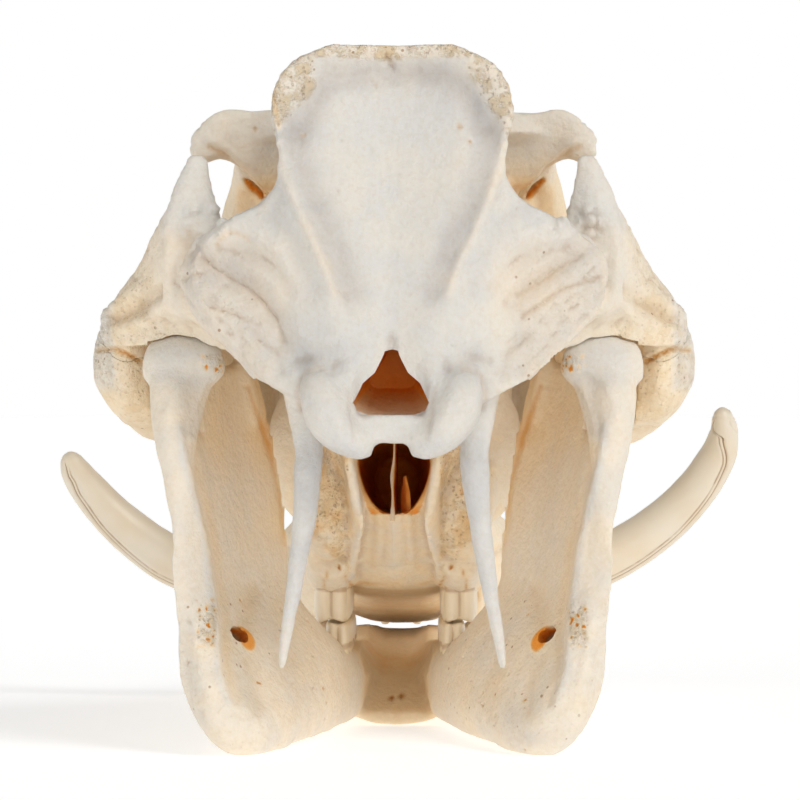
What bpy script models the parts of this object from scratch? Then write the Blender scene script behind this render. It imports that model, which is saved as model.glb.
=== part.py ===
"""Warthog skull at life size, standing on its own lower jaw.

All shapes are written in millimetres in the skull's own frame: x to the animal's right,
y forward from the rear face of the occipital condyles, z up from the floor.
world() turns them into metres, with the origin under the middle of the skull.
"""
import math

import bmesh
import bpy
import numpy as np
from mathutils import Vector

# Driving dimensions in millimetres
MILLIMETRE = 0.001
SKULL_LENGTH = 360.0
GAP = 0.3
VOXEL = 1.9
SMOOTH_ROUNDS = 4
CRANIUM_FACES = 4700
MANDIBLE_FACES = 2100
# Suture between braincase and snout: a point of it as y and z, and its lean
SUTURE_FOOT = (132.0, 45.0)
SUTURE_LEAN = 0.213
# Upper suture of the cheek bone: a point of it as y and z, and its rise; and where its inner side starts
CHEEK_TOP = (85.0, 142.0)
CHEEK_RISE = 0.7
CHEEK_INNER = 72.0
# Cheek teeth from back to front, and the length of tooth that one rounded column takes
UPPER_TEETH = (42.0, 14.0, 11.0)
LOWER_TEETH = (44.0, 14.0, 11.0)
COLUMN_PITCH = 8.5
TOOTH_GAP = 0.4

# Occipital plate: height, half width, ridge place, and how far forward edge, ridge and middle stand
PLATE = [
    (112.0, 22.0, 9.0, 20.0, 17.0, 17.0),
    (121.0, 33.0, 11.0, 20.0, 15.0, 16.0),
    (128.0, 47.0, 14.0, 22.0, 14.0, 16.0),
    (137.0, 57.0, 16.0, 24.5, 13.5, 16.5),
    (148.0, 68.0, 19.0, 26.5, 14.5, 18.0),
    (160.0, 73.0, 22.0, 27.5, 15.5, 20.0),
    (172.0, 71.5, 25.0, 28.5, 17.0, 22.0),
    (181.0, 61.0, 27.5, 28.5, 18.5, 23.5),
    (190.0, 43.5, 30.0, 27.5, 20.5, 25.5),
    (203.0, 37.8, 33.5, 24.5, 23.0, 29.0),
    (216.0, 41.7, 36.5, 24.0, 24.5, 32.0),
    (228.0, 39.5, 35.0, 24.5, 25.5, 33.5),
    (236.0, 33.0, 29.5, 26.0, 26.5, 34.0),
    (241.6, 21.0, 18.0, 28.0, 28.0, 33.0),
]
PLATE_THICKNESS = 9.0

# Braincase and snout: forward, low, high, half width low, in the middle and high
BRAINCASE = [
    (26.0, 104.0, 160.0, 20.0, 26.0, 20.0),
    (31.0, 104.0, 214.0, 22.0, 30.0, 26.0),
    (40.0, 104.0, 235.0, 24.0, 38.0, 31.0),
    (55.0, 102.0, 233.0, 25.0, 40.0, 30.0),
    (72.0, 100.0, 228.0, 24.0, 40.0, 33.0),
    (88.0, 100.0, 221.0, 22.0, 41.0, 42.0),
    (105.0, 98.0, 214.0, 21.0, 44.0, 53.0),
    (125.0, 92.0, 208.0, 22.0, 45.0, 52.0),
    (145.0, 80.0, 200.0, 24.0, 44.0, 42.0),
]
SNOUT = [
    (100.0, 81.0, 205.0, 15.0, 34.0, 40.0),
    (118.0, 71.0, 208.0, 17.0, 38.0, 43.0),
    (136.0, 60.0, 203.0, 24.0, 42.0, 42.0),
    (152.0, 52.0, 195.0, 31.0, 43.0, 39.0),
    (175.0, 49.5, 180.0, 32.0, 42.0, 35.0),
    (200.0, 46.0, 163.5, 31.0, 38.0, 31.0),
    (230.0, 42.0, 143.5, 29.0, 34.0, 28.5),
    (260.0, 38.0, 123.5, 29.0, 32.0, 26.0),
    (285.0, 34.0, 107.0, 31.0, 33.0, 24.0),
    (305.0, 31.0, 96.0, 28.0, 29.0, 22.0),
    (325.0, 29.0, 86.0, 23.0, 25.0, 19.0),
    (343.0, 29.5, 78.0, 18.0, 20.0, 14.0),
    (353.0, 30.5, 73.0, 14.5, 16.5, 10.0),
    (361.0, 33.5, 62.0, 10.0, 11.5, 6.0),
]
# Frontal roof: forward, half width, rim height, height in the middle
FRONTAL = [
    (66.0, 33.0, 226.0, 228.0),
    (76.0, 37.0, 224.0, 222.0),
    (84.0, 50.0, 223.5, 217.5),
    (93.0, 61.0, 223.5, 214.0),
    (103.0, 64.0, 222.5, 211.0),
    (114.0, 62.0, 219.5, 208.0),
    (127.0, 57.0, 213.0, 203.5),
    (141.0, 49.0, 204.0, 197.5),
    (157.0, 41.0, 192.5, 188.5),
]
FRONTAL_RIM = 9.0
FRONTAL_MIDDLE = 16.0

# Zygomatic arch: a curved plate in rows from back to front, each from the upper to the lower edge
# as points with the thickness there
ARCH = [
    [(64.5, 48.0, 203.0, 2.5), (70.0, 48.0, 190.0, 7.0), (72.5, 48.0, 176.0, 11.0),
     (71.0, 50.0, 161.0, 13.0), (66.0, 53.0, 147.0, 12.0)],
    [(70.0, 56.0, 193.0, 4.0), (75.0, 57.0, 182.0, 8.0), (77.5, 59.0, 170.0, 10.0),
     (79.0, 61.0, 158.0, 10.0), (76.0, 62.0, 148.0, 9.0)],
    [(75.5, 68.0, 184.0, 4.5), (79.5, 69.0, 175.0, 7.5), (84.0, 70.0, 164.0, 9.0),
     (88.0, 71.0, 153.5, 9.0), (86.5, 70.0, 145.0, 8.0)],
    [(78.0, 80.0, 181.0, 5.0), (83.0, 80.0, 170.0, 8.0), (92.5, 80.0, 155.0, 9.0),
     (97.0, 79.0, 137.0, 9.0), (86.0, 77.0, 118.0, 8.0)],
    [(79.0, 91.0, 180.5, 5.0), (86.0, 91.0, 166.5, 8.0), (98.0, 91.0, 150.0, 9.0),
     (101.0, 90.0, 129.0, 9.5), (86.5, 86.0, 111.0, 8.0)],
    [(79.0, 103.0, 179.0, 6.0), (85.5, 103.0, 164.0, 8.5), (97.0, 103.0, 147.0, 10.0),
     (99.5, 102.0, 126.0, 10.0), (85.0, 99.0, 108.5, 8.5)],
    [(76.0, 118.0, 175.0, 7.0), (82.0, 118.0, 159.0, 9.5), (91.0, 118.0, 141.0, 11.0),
     (92.0, 117.0, 120.0, 11.0), (80.0, 114.0, 104.5, 9.0)],
    [(69.0, 134.0, 170.0, 8.0), (74.0, 134.0, 153.0, 11.0), (80.0, 133.0, 135.0, 12.0),
     (80.0, 132.0, 115.0, 12.0), (71.0, 130.0, 101.0, 9.5)],
    [(58.0, 150.0, 164.0, 9.0), (62.0, 150.0, 146.0, 13.0), (66.0, 150.0, 128.0, 14.0),
     (66.0, 149.0, 110.0, 13.0), (59.0, 147.0, 97.0, 10.0)],
    [(44.0, 168.0, 154.0, 10.0), (47.0, 169.0, 138.0, 13.0), (49.5, 169.0, 121.0, 14.0),
     (49.0, 168.0, 106.0, 13.0), (44.0, 166.0, 93.0, 11.0)],
    [(30.0, 190.0, 142.0, 9.0), (31.0, 192.0, 128.0, 10.0), (32.0, 192.0, 114.0, 10.0),
     (32.0, 190.0, 102.0, 10.0), (30.0, 188.0, 92.0, 9.0)],
]
# Pterygoid and palatine wall beside the choana, from the back forward
PTERYGOID = [
    [(17.5, 84.0, 112.0, 5.0), (16.8, 88.0, 100.0, 3.5), (15.0, 92.0, 88.0, 3.0)],
    [(17.0, 94.0, 110.0, 7.0), (15.4, 96.0, 92.0, 4.5), (13.2, 98.0, 75.0, 3.5)],
    [(18.0, 112.0, 106.0, 8.0), (15.8, 114.0, 84.0, 6.0), (13.6, 116.0, 66.0, 4.5)],
    [(20.0, 130.0, 100.0, 8.0), (18.0, 132.0, 78.0, 7.0), (16.5, 134.0, 57.0, 5.0)],
    [(21.0, 152.0, 92.0, 8.0), (20.0, 152.0, 72.0, 7.0), (18.0, 152.0, 50.0, 6.0)],
]
# Outline of the foramen magnum on one side, from its top notch down: x and z
FORAMEN = [(0.0, 141.5), (2.2, 139.0), (3.4, 136.5), (7.5, 131.0), (12.3, 122.0), (12.8, 118.0),
           (9.5, 110.5), (0.0, 109.4)]

# Lower jaw: the ramus in rows from the bottom up, each from the rear to the front edge
# as points with the thickness there
RAMUS = [
    [(55.0, 51.0, 9.0, 15.0), (48.0, 74.0, 8.0, 15.0), (39.0, 101.0, 10.0, 15.0)],
    [(65.0, 45.0, 24.0, 15.0), (55.5, 76.0, 24.0, 9.0), (42.0, 107.0, 25.0, 13.0)],
    [(68.0, 42.5, 45.0, 15.0), (58.0, 78.0, 45.0, 6.5), (41.0, 114.0, 45.0, 12.0)],
    [(69.5, 43.0, 66.0, 15.5), (59.0, 79.0, 66.0, 6.0), (40.0, 118.0, 66.0, 10.0)],
    [(71.5, 45.0, 88.0, 15.0), (61.0, 81.0, 88.0, 6.0), (42.0, 116.0, 88.0, 7.5)],
    [(74.5, 50.0, 108.0, 14.5), (64.0, 83.0, 107.0, 6.0), (45.0, 113.0, 108.0, 6.5)],
    [(76.0, 58.0, 124.0, 13.0), (66.0, 84.0, 120.0, 6.5), (49.0, 109.0, 125.0, 6.0)],
]
# Body of the jaw: centre, half height, half width
JAW_BODY = [
    (49.0, 64.0, 12.5, 12.5, 13.0),
    (45.5, 82.0, 16.0, 16.5, 15.5),
    (41.0, 99.0, 19.5, 20.0, 16.0),
    (35.5, 117.0, 21.5, 21.5, 15.5),
    (29.5, 136.0, 19.5, 18.5, 14.5),
    (24.5, 158.0, 17.5, 15.5, 13.0),
    (21.0, 182.0, 16.5, 15.0, 12.0),
    (18.0, 208.0, 15.5, 14.5, 12.0),
    (15.0, 232.0, 15.5, 13.0, 12.0),
]
# Chin and symphysis: forward, low, high, half width low, in the middle and high
SYMPHYSIS = [
    (167.0, 0.0, 5.0, 8.0, 15.0, 15.0),
    (178.0, -0.6, 10.5, 10.0, 18.0, 18.0),
    (192.0, -1.0, 16.5, 12.0, 23.0, 25.0),
    (215.0, -1.0, 23.0, 12.0, 25.0, 28.0),
    (240.0, 1.0, 28.5, 12.0, 25.0, 29.0),
    (265.0, 4.5, 30.5, 14.0, 27.0, 30.0),
    (287.0, 8.0, 31.0, 18.0, 33.0, 33.0),
    (306.0, 11.5, 29.0, 18.0, 31.0, 31.0),
    (323.0, 14.5, 26.0, 15.0, 25.0, 25.0),
    (337.0, 17.0, 23.5, 12.0, 19.0, 19.0),
]

# Tusks: centre line and radius; the right upper tusk stands higher than the left one
UPPER_TUSK_RIGHT = [
    (34.0, 283.0, 45.0, 8.0),
    (50.0, 289.0, 47.0, 9.6),
    (68.0, 294.0, 51.0, 10.2),
    (87.0, 298.0, 58.0, 10.0),
    (105.0, 300.0, 69.5, 9.3),
    (119.0, 300.0, 83.0, 8.5),
    (128.3, 298.0, 97.0, 7.6),
    (131.0, 295.0, 109.0, 6.2),
    (130.0, 292.5, 117.0, 4.0),
    (129.6, 291.8, 118.8, 2.0),
]
UPPER_TUSK_LEFT = [
    (34.0, 283.0, 45.0, 8.0),
    (50.0, 289.0, 46.0, 9.6),
    (70.0, 294.0, 48.5, 10.2),
    (91.0, 298.0, 55.0, 10.0),
    (106.0, 300.0, 64.5, 9.3),
    (118.0, 300.0, 75.0, 8.4),
    (127.0, 298.0, 85.5, 7.3),
    (131.8, 296.0, 94.0, 5.8),
    (134.0, 294.5, 100.0, 3.9),
    (134.6, 294.2, 101.6, 2.0),
]
LOWER_TUSK = [
    (27.0, 283.0, 20.5, 5.5),
    (41.0, 297.0, 23.0, 6.3),
    (54.0, 306.0, 29.0, 6.4),
    (66.0, 311.0, 38.0, 6.0),
    (74.0, 312.5, 48.5, 4.8),
    (78.0, 312.0, 58.0, 2.2),
]


def world(point):
    """Metres in the finished part's frame, from millimetres in the skull's frame."""
    x, y, z = point
    return Vector((x, y - 0.5 * SKULL_LENGTH, z)) * MILLIMETRE


def clear_scene():
    for item in list(bpy.data.objects):
        bpy.data.objects.remove(item, do_unlink=True)


def add_object(name, mesh):
    item = bpy.data.objects.new(name, mesh)
    bpy.context.scene.collection.objects.link(item)
    return item


def curve_rows(rows, steps):
    """A smooth curve through rows of numbers, with so many steps between two rows."""
    rows = np.array(rows, dtype=float)
    padded = np.vstack([2 * rows[0] - rows[1], rows, 2 * rows[-1] - rows[-2]])
    found = []
    for i in range(1, len(padded) - 2):
        before, start, end, after = padded[i - 1:i + 3]
        for t in np.arange(steps) / steps:
            bend = (2 * before - 5 * start + 4 * end - after) * t * t
            twist = (3 * start - before - 3 * end + after) * t ** 3
            found.append(0.5 * (2 * start + (end - before) * t + bend + twist))
    found.append(rows[-1])
    return np.array(found)


def skin(name, rings):
    """A closed mesh through rings of points, with a flat face at either end."""
    shape = bmesh.new()
    loops = [[shape.verts.new(world(point)) for point in ring] for ring in rings]
    for near, far in zip(loops, loops[1:]):
        for i in range(len(near)):
            j = (i + 1) % len(near)
            shape.faces.new((near[i], near[j], far[j], far[i]))
    shape.faces.new(loops[0])
    shape.faces.new(loops[-1])
    bmesh.ops.triangulate(shape, faces=[face for face in shape.faces if len(face.verts) > 4])
    bmesh.ops.recalc_face_normals(shape, faces=shape.faces)
    mesh = bpy.data.meshes.new(name)
    shape.to_mesh(mesh)
    shape.free()
    return add_object(name, mesh)


def mirrored(item):
    """A copy on the other side of the skull."""
    mesh = item.data.copy()
    for vertex in mesh.vertices:
        vertex.co.x = -vertex.co.x
    mesh.flip_normals()
    return add_object(item.name + "_mirror", mesh)


def both(item):
    return [item, mirrored(item)]


def loft(name, rows, power=2.6, sides=36, steps=4):
    """A form along y; each row is y, low, high and three half widths from low to high."""
    rings = []
    for y, low, high, wide_low, wide_mid, wide_high in curve_rows(rows, steps):
        ring = []
        for k in range(sides):
            angle = 2 * math.pi * k / sides
            up = math.copysign(abs(math.sin(angle)) ** (2 / power), math.sin(angle))
            out = math.copysign(abs(math.cos(angle)) ** (2 / power), math.cos(angle))
            wide = wide_mid + 0.5 * (wide_high - wide_low) * up
            wide += (0.5 * (wide_high + wide_low) - wide_mid) * up * up
            ring.append((wide * out, y, 0.5 * (low + high) + 0.5 * (high - low) * up))
        rings.append(ring)
    return skin(name, rings)


def tube(name, rows, sides=18, steps=5, lean=(0, 0, 1)):
    """A limb along a smooth path; rows are x, y, z and one or two radii, the first along lean."""
    rows = [tuple(row) if len(row) == 5 else tuple(row) + (row[3],) for row in rows]
    path = curve_rows(rows, steps)
    lean = Vector(lean)
    rings = []
    for i, row in enumerate(path):
        ahead = Vector(path[min(i + 1, len(path) - 1)][:3]) - Vector(path[max(i - 1, 0)][:3])
        ahead.normalize()
        first = (lean - ahead * lean.dot(ahead)).normalized()
        second = ahead.cross(first)
        centre = Vector(row[:3])
        ring = []
        for k in range(sides):
            angle = 2 * math.pi * k / sides
            reach = first * (row[3] * math.cos(angle)) + second * (row[4] * math.sin(angle))
            ring.append(centre + reach)
        rings.append(ring)
    return skin(name, rings)


def ribbon(name, rows, across=3, steps=5):
    """A curved plate through rows of points, each point with the plate's thickness there."""
    path = curve_rows([np.ravel(row) for row in rows], steps)
    cells = np.array([curve_rows(row.reshape(-1, 4), across) for row in path])
    grid = cells[:, :, :3]
    thick = cells[:, :, 3]
    normal = np.cross(np.gradient(grid, axis=0), np.gradient(grid, axis=1))
    normal /= np.linalg.norm(normal, axis=2, keepdims=True)
    offset = 0.5 * normal * thick[:, :, None]
    rings = [list(outer) + list(inner[::-1]) for outer, inner in zip(grid + offset, grid - offset)]
    return skin(name, rings)


def prism(name, half_outline, stations):
    """A cutter with a mirrored outline across x, scaled about its middle at each y."""
    outline = half_outline + [(-x, z) for x, z in half_outline[-2:0:-1]]
    middle = 0.5 * (max(z for x, z in outline) + min(z for x, z in outline))
    rings = []
    for y, size, rise in stations:
        rings.append([(x * size, y, middle + (z - middle) * size + rise) for x, z in outline])
    return skin(name, rings)


def ball(name, centre, radii, sides=24):
    """A rounded lump with three radii."""
    shape = bmesh.new()
    bmesh.ops.create_uvsphere(shape, u_segments=sides, v_segments=sides // 2, radius=1.0)
    for vertex in shape.verts:
        vertex.co = world([c + r * v for c, r, v in zip(centre, radii, vertex.co)])
    mesh = bpy.data.meshes.new(name)
    shape.to_mesh(mesh)
    shape.free()
    return add_object(name, mesh)


def bake(item):
    """Applies the modifiers of an object to its mesh."""
    graph = bpy.context.evaluated_depsgraph_get()
    mesh = bpy.data.meshes.new_from_object(item.evaluated_get(graph))
    item.modifiers.clear()
    item.data = mesh
    return item


def discard(items):
    for item in items:
        bpy.data.objects.remove(item, do_unlink=True)


def fuse(name, pieces):
    """One rounded body from overlapping closed pieces."""
    shape = bmesh.new()
    for piece in pieces:
        shape.from_mesh(piece.data)
    mesh = bpy.data.meshes.new(name)
    shape.to_mesh(mesh)
    shape.free()
    discard(pieces)
    body = add_object(name, mesh)
    soften(body)
    return body


def soften(body):
    """Remakes a body's surface on an even grid and rounds its edges."""
    remesh = body.modifiers.new("even surface", "REMESH")
    remesh.mode = "VOXEL"
    remesh.voxel_size = VOXEL * MILLIMETRE
    smooth = body.modifiers.new("rounding", "SMOOTH")
    smooth.factor = 0.5
    smooth.iterations = SMOOTH_ROUNDS
    bake(body)


def combine(body, pieces, operation, solver="EXACT"):
    """Adds closed pieces to a body or cuts them out of it, then removes them."""
    group = bpy.data.collections.new("pieces")
    for piece in pieces:
        group.objects.link(piece)
    change = body.modifiers.new("combine", "BOOLEAN")
    change.operation = operation
    change.operand_type = "COLLECTION"
    change.collection = group
    change.solver = solver
    bake(body)
    discard(pieces)
    bpy.data.collections.remove(group)


def keep_largest(body):
    """Keeps the largest closed surface of a body."""
    shape = bmesh.new()
    shape.from_mesh(body.data)
    bmesh.ops.triangulate(shape, faces=shape.faces)
    unseen = set(shape.verts)
    islands = []
    while unseen:
        stack = [unseen.pop()]
        island = []
        while stack:
            vertex = stack.pop()
            island.append(vertex)
            for edge in vertex.link_edges:
                other = edge.other_vert(vertex)
                if other in unseen:
                    unseen.remove(other)
                    stack.append(other)
        islands.append(island)
    islands.sort(key=len)
    for island in islands[:-1]:
        bmesh.ops.delete(shape, geom=island, context="VERTS")
    shape.to_mesh(body.data)
    shape.free()


def reduce_faces(body, count):
    """Fewer triangles, spent where the surface bends most."""
    triangles = sum(len(face.vertices) - 2 for face in body.data.polygons)
    fewer = body.modifiers.new("fewer faces", "DECIMATE")
    fewer.ratio = min(1.0, count / triangles)
    bake(body)
    keep_largest(body)


def occipital_plate():
    """The shield at the back of the skull: raised rims, two ridges and a hollow middle."""
    rings = []
    for height, half, ridge, edge_y, ridge_y, middle_y in curve_rows(PLATE, 4):
        wing_y = 0.35 * ridge_y + 0.65 * edge_y + 0.02 * (half - ridge)
        profile = [(0.0, middle_y), (ridge, ridge_y), (0.5 * (ridge + half), wing_y), (half, edge_y)]
        profile = [(-x, y) for x, y in profile[:0:-1]] + profile
        rear = [(x, y, height) for x, y in curve_rows(profile, 4)]
        front = [(0.98 * x, y + PLATE_THICKNESS, height) for x, y, height in rear]
        rings.append(rear + front[::-1])
    return skin("plate", rings)


def frontal_roof():
    rows = []
    for y, half, rim, middle in FRONTAL:
        edge = (y, rim - 0.5 * FRONTAL_RIM, FRONTAL_RIM)
        inner = (y, 0.6 * rim + 0.4 * middle - 0.5 * FRONTAL_RIM, FRONTAL_RIM + 2)
        centre = (0.0, y, middle - 0.5 * FRONTAL_MIDDLE, FRONTAL_MIDDLE)
        side = 0.55 * half
        rows.append([(-half,) + edge, (-side,) + inner, centre, (side,) + inner, (half,) + edge])
    return ribbon("frontals", rows)


def cranium_pieces():
    """Closed forms that overlap into the upper skull."""
    pieces = [
        occipital_plate(),
        loft("braincase_core", BRAINCASE, power=2.5),
        loft("snout_core", SNOUT, power=3.4),
        frontal_roof(),
    ]
    pieces += both(ribbon("arch", ARCH))
    pieces += both(ribbon("pterygoid", PTERYGOID))
    # Root of the arch beside the braincase, and the ear region under it
    pieces += both(ball("arch_root", (53, 48, 158), (24, 20, 16)))
    pieces += both(ball("wing_back", (64, 45, 168), (11, 15, 17)))
    pieces += both(ball("ear", (41, 44, 138), (16, 16, 15)))
    # Pointed rear wall of the temporal space, seen over the wing of the plate
    pieces += both(ribbon("spike", [
        [(56, 46, 164, 8), (68, 44, 164, 10), (77, 50, 164, 9)],
        [(59, 47, 178, 7), (69, 45, 178, 9), (76.5, 51, 178, 8)],
        [(62, 48, 189, 5), (68.5, 47, 189, 7), (73.5, 51, 189, 6)],
        [(63.5, 49, 198, 3.5), (66.5, 48.5, 198, 4.5), (69.0, 50, 198, 3.5)],
        [(64.0, 50, 205, 2.5), (65.0, 50, 205, 3), (66.0, 50, 205, 2.5)],
    ]))
    pieces += both(ball("glenoid", (70, 61, 156), (16, 14, 9)))
    # Condyles, with the basioccipital between them
    pieces += both(tube("condyle", [
        (26.5, 17, 127, 8, 4),
        (23.5, 13, 122, 12, 7.5),
        (18, 11.5, 114, 12, 9.5),
        (12.5, 14, 107, 11, 7),
        (9, 17, 103.5, 8, 3),
    ], lean=(0, 1, 0)))
    pieces.append(tube("basioccipital", [(0, 9, 112, 3.5, 12), (0, 40, 109, 7, 12), (0, 90, 107, 8, 15)]))
    # Postorbital processes hang from the outer corners of the frontals
    pieces += both(ribbon("postorbital", [
        [(40, 92, 219, 7), (40, 96, 207, 9), (40, 101, 193, 7)],
        [(52, 90, 220, 8), (52, 93, 211, 9), (52, 97, 200, 6)],
        [(60, 90, 219, 8), (61, 91, 213.5, 9), (61, 93, 206.5, 6)],
        [(66, 90, 216, 7), (67, 90, 211, 8), (66.5, 91, 205.5, 5)],
        [(69.0, 90, 212.5, 4), (70.0, 90, 209.5, 5), (68.5, 91, 205.5, 3.5)],
    ]))
    pieces += both(ball("palatine_face", (24, 126, 86), (12.5, 19, 23)))
    # Face below the front of the orbit, then the orbit's front rim
    pieces += both(tube("face", [(38, 128, 196, 14, 12), (44, 144, 182, 16, 13), (44, 158, 162, 18, 12),
                                 (36, 178, 142, 17, 10), (26, 200, 126, 12, 8)]))
    pieces += both(tube("orbit_rim", [(50, 126, 206, 8), (53, 138, 197, 8), (56, 145, 184, 9),
                                      (61, 147, 168, 10)]))
    # Bullae and the bone that holds the rear of the tooth row
    pieces += both(ball("bulla", (23, 58, 100), (7, 14, 14)))
    pieces += both(tube("tooth_bone", [(24, 130, 68, 13, 8), (24, 145, 62, 13, 9.5), (25, 175, 62, 15, 10),
                                       (24, 205, 62, 17, 9), (24, 235, 64, 15, 7)]))
    # Sockets of the tusks
    pieces += both(tube("tusk_socket", [(24, 272, 50, 16), (36, 281, 49, 16.5), (47, 287, 48, 15.5),
                                        (56, 291, 48.5, 13)]))
    pieces += both(ribbon("socket_crest", [
        [(20, 250, 84, 8), (28, 252, 72, 9), (32, 254, 58, 8)],
        [(25, 268, 83, 7), (35, 271, 72, 9), (42, 274, 58, 9)],
        [(29, 282, 77, 6), (39, 284, 70, 8), (50, 286, 58, 9)],
        [(28, 294, 66, 5), (38, 294, 62, 6), (50, 293, 55, 8)],
    ]))
    pieces += both(tube("paroccipital_root", [(30, 27, 134, 9, 9), (27.5, 27, 112, 6, 7),
                                              (27.5, 27.5, 98, 4.5, 5)], lean=(0, 1, 0)))
    return pieces


def paroccipital_processes():
    """Long slender spines that hang beside the condyles."""
    return both(tube("paroccipital", [
        (27.6, 27.0, 112.0, 5.0, 6.0),
        (28.0, 27.5, 98.0, 4.8, 5.2),
        (29.2, 28.0, 84.0, 4.2, 4.4),
        (31.5, 30.0, 68.0, 3.3, 3.4),
        (33.7, 32.0, 54.0, 2.6, 2.6),
        (36.0, 34.0, 41.0, 2.0, 1.9),
        (37.2, 35.0, 32.0, 1.1, 1.0),
    ], sides=8, steps=2, lean=(0, 1, 0)))


def cranium_hollows():
    """Cutters for the openings of the upper skull."""
    cutters = [
        prism("foramen_magnum", FORAMEN, [(-12, 1.1, 0), (16, 1.0, 0), (34, 1.15, 1), (60, 0.8, 4)]),
        loft("choana", [
            (80.0, 66.0, 103.0, 11.0, 14.5, 14.0),
            (93.0, 77.0, 104.0, 8.5, 13.5, 14.5),
            (104.0, 81.0, 104.0, 6.5, 12.5, 14.0),
            (130.0, 78.0, 104.0, 7.0, 12.0, 12.0),
            (165.0, 78.0, 100.0, 5.0, 8.0, 7.0),
        ], power=3.0),
        loft("nasal_opening", [
            (318.0, 52.0, 66.0, 5.0, 6.0, 5.0),
            (334.0, 47.0, 69.0, 10.0, 12.0, 9.0),
            (352.0, 45.0, 67.0, 13.0, 16.0, 12.0),
            (372.0, 44.0, 76.0, 20.0, 22.0, 16.0),
        ]),
        # Notch between the nasal tips and the premaxilla, open to both sides
        tube("nasal_notch", [(-30, 360, 58, 9, 8), (0, 357, 57, 10, 9), (30, 360, 58, 9, 8)],
             lean=(0, 1, 0)),
        tube("palate_vault", [(0, 150, 43, 4, 11), (0, 175, 42, 6, 14), (0, 215, 38, 6, 15),
                              (0, 262, 33, 5, 13), (0, 300, 26, 3, 9)]),
    ]
    # Orbits open outwards and back
    cutters += both(tube("orbit", [(55, 114, 194, 11), (60, 113, 195, 15.5), (69, 112, 195.5, 18.5),
                                   (96, 110, 198, 24)]))
    # Temporal space between braincase and arch
    cutters += both(tube("temporal", [
        (56, 66, 250, 15, 15),
        (57, 67, 212, 15, 16),
        (58, 72, 192, 17, 14),
        (61, 80, 174, 18, 14),
        (64, 90, 150, 19, 14),
        (60, 97, 118, 20, 15),
    ], lean=(0, 1, 0)))
    # Space under the arch for the lower jaw
    cutters += both(jaw_space("jaw_space"))
    cutters += both(tube("infraorbital", [(60, 190, 104, 6, 4), (36, 176, 106, 5, 3.5)], lean=(0, 0, 1)))
    return cutters


def jaw_space(name):
    """The room that the ramus and its coronoid process need beside the palate."""
    rows = [(36, 70, 112, 14, 6), (50, 86, 118, 20, 13), (52, 104, 124, 22, 17), (50, 124, 118, 20, 11)]
    return tube(name, rows)


def mandible_pieces():
    """Closed forms that overlap into the lower jaw."""
    pieces = [loft("symphysis", SYMPHYSIS, power=2.4)]
    pieces += both(ribbon("ramus", RAMUS))
    pieces += both(tube("jaw_body", JAW_BODY))
    # Inner face of the jaw slopes from the ramus down to the tooth row and to the keel
    pieces += both(tube("inner_slope", [(57, 66, 30, 12, 8), (52.5, 84, 38, 17, 8.5), (46, 105, 43, 19, 9),
                                        (37, 126, 37, 15, 9)]))
    pieces += both(tube("jaw_keel", [
        (47, 62, 9, 9, 12),
        (40, 82, 11, 11, 13),
        (34.5, 101, 12, 12, 13),
        (29.5, 120, 12.5, 12, 12),
        (25, 142, 11.5, 10.5, 11),
        (21, 165, 10, 9, 10),
    ]))
    # The joint knob is widest on top and narrows down the rear border
    pieces += both(tube("joint_knob", [(59, 61, 136, 5.5, 6), (65, 60, 134.5, 9.6, 9), (76, 61, 133.3, 11, 10),
                                       (85, 63, 135, 7, 7.5)]))
    pieces += both(tube("joint_neck", [(72, 60, 134, 12, 8), (74.0, 55, 121, 11, 7), (74.0, 51, 106, 8, 7),
                                       (72.5, 50, 90, 6, 6), (71.5, 50, 76, 4, 4)], lean=(1, 0, 0)))
    pieces += both(tube("coronoid", [(50, 108, 116, 10, 3.2), (53, 103, 132, 9, 3), (57, 98, 146, 5.5, 2.2)],
                        lean=(0, 1, 0)))
    pieces += both(ball("angle_foot", (46, 68, 10), (17, 26, 11)))
    pieces += both(ball("tusk_bulge", (34, 289, 21), (14, 17, 12)))
    return pieces


def mandible_hollows():
    cutters = [
        tube("tongue_trough", [(0, 160, 27, 15, 14), (0, 195, 34, 18, 15), (0, 250, 41, 17, 16),
                               (0, 300, 44, 18, 18), (0, 350, 47, 20, 20)]),
    ]
    cutters += both(tube("jaw_canal", [(44, 60, 42, 5, 3.4), (56, 74, 36, 3.8, 2.6)], lean=(0, 1, 0)))
    return cutters


def tooth_row(name, start, centre_x, half_width, root, crown, lengths, drift):
    """Cheek teeth from back to front as one row of rounded columns."""
    teeth = []
    y = start
    for number, length in enumerate(lengths):
        columns = max(2, round(length / COLUMN_PITCH))
        for k in range(columns):
            middle = y + length * (k + 0.5) / columns
            x = centre_x + drift * (middle - start)
            wide = half_width * (1 - 0.05 * number)
            long = 0.56 * length / columns
            rows = [(x, middle, root, long, wide), (x, middle, crown, long * 0.94, wide * 0.9)]
            teeth.append(tube(name, rows, sides=8, steps=1, lean=(0, 1, 0)))
        y += length + TOOTH_GAP
    return teeth


def upper_teeth():
    teeth = both_all(tooth_row("upper_tooth", 138, 22.6, 7.6, 60, 40.3, UPPER_TEETH, -0.02))
    teeth += both(tube("upper_incisor", [(9, 348, 38, 4.0, 3.2), (6, 354, 28, 3.0, 2.4)], sides=6, steps=2))
    return teeth


def lower_teeth():
    teeth = both_all(tooth_row("lower_tooth", 136, 20.8, 5.2, 24, 39.8, LOWER_TEETH, -0.02))
    for k, x in enumerate((3.6, 10.6, 16.6)):
        tip = (x * 0.9, 352 - 5 * k, 21.0, 1.6, 2.6)
        rows = [(x, 326 - 4 * k, 20.0, 2.6, 3.3), (x, 340 - 5 * k, 20.5, 2.4, 3.2), tip]
        teeth += both(tube("lower_incisor", rows, sides=6, steps=2))
    return teeth


def both_all(items):
    return items + [mirrored(item) for item in items]


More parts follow.
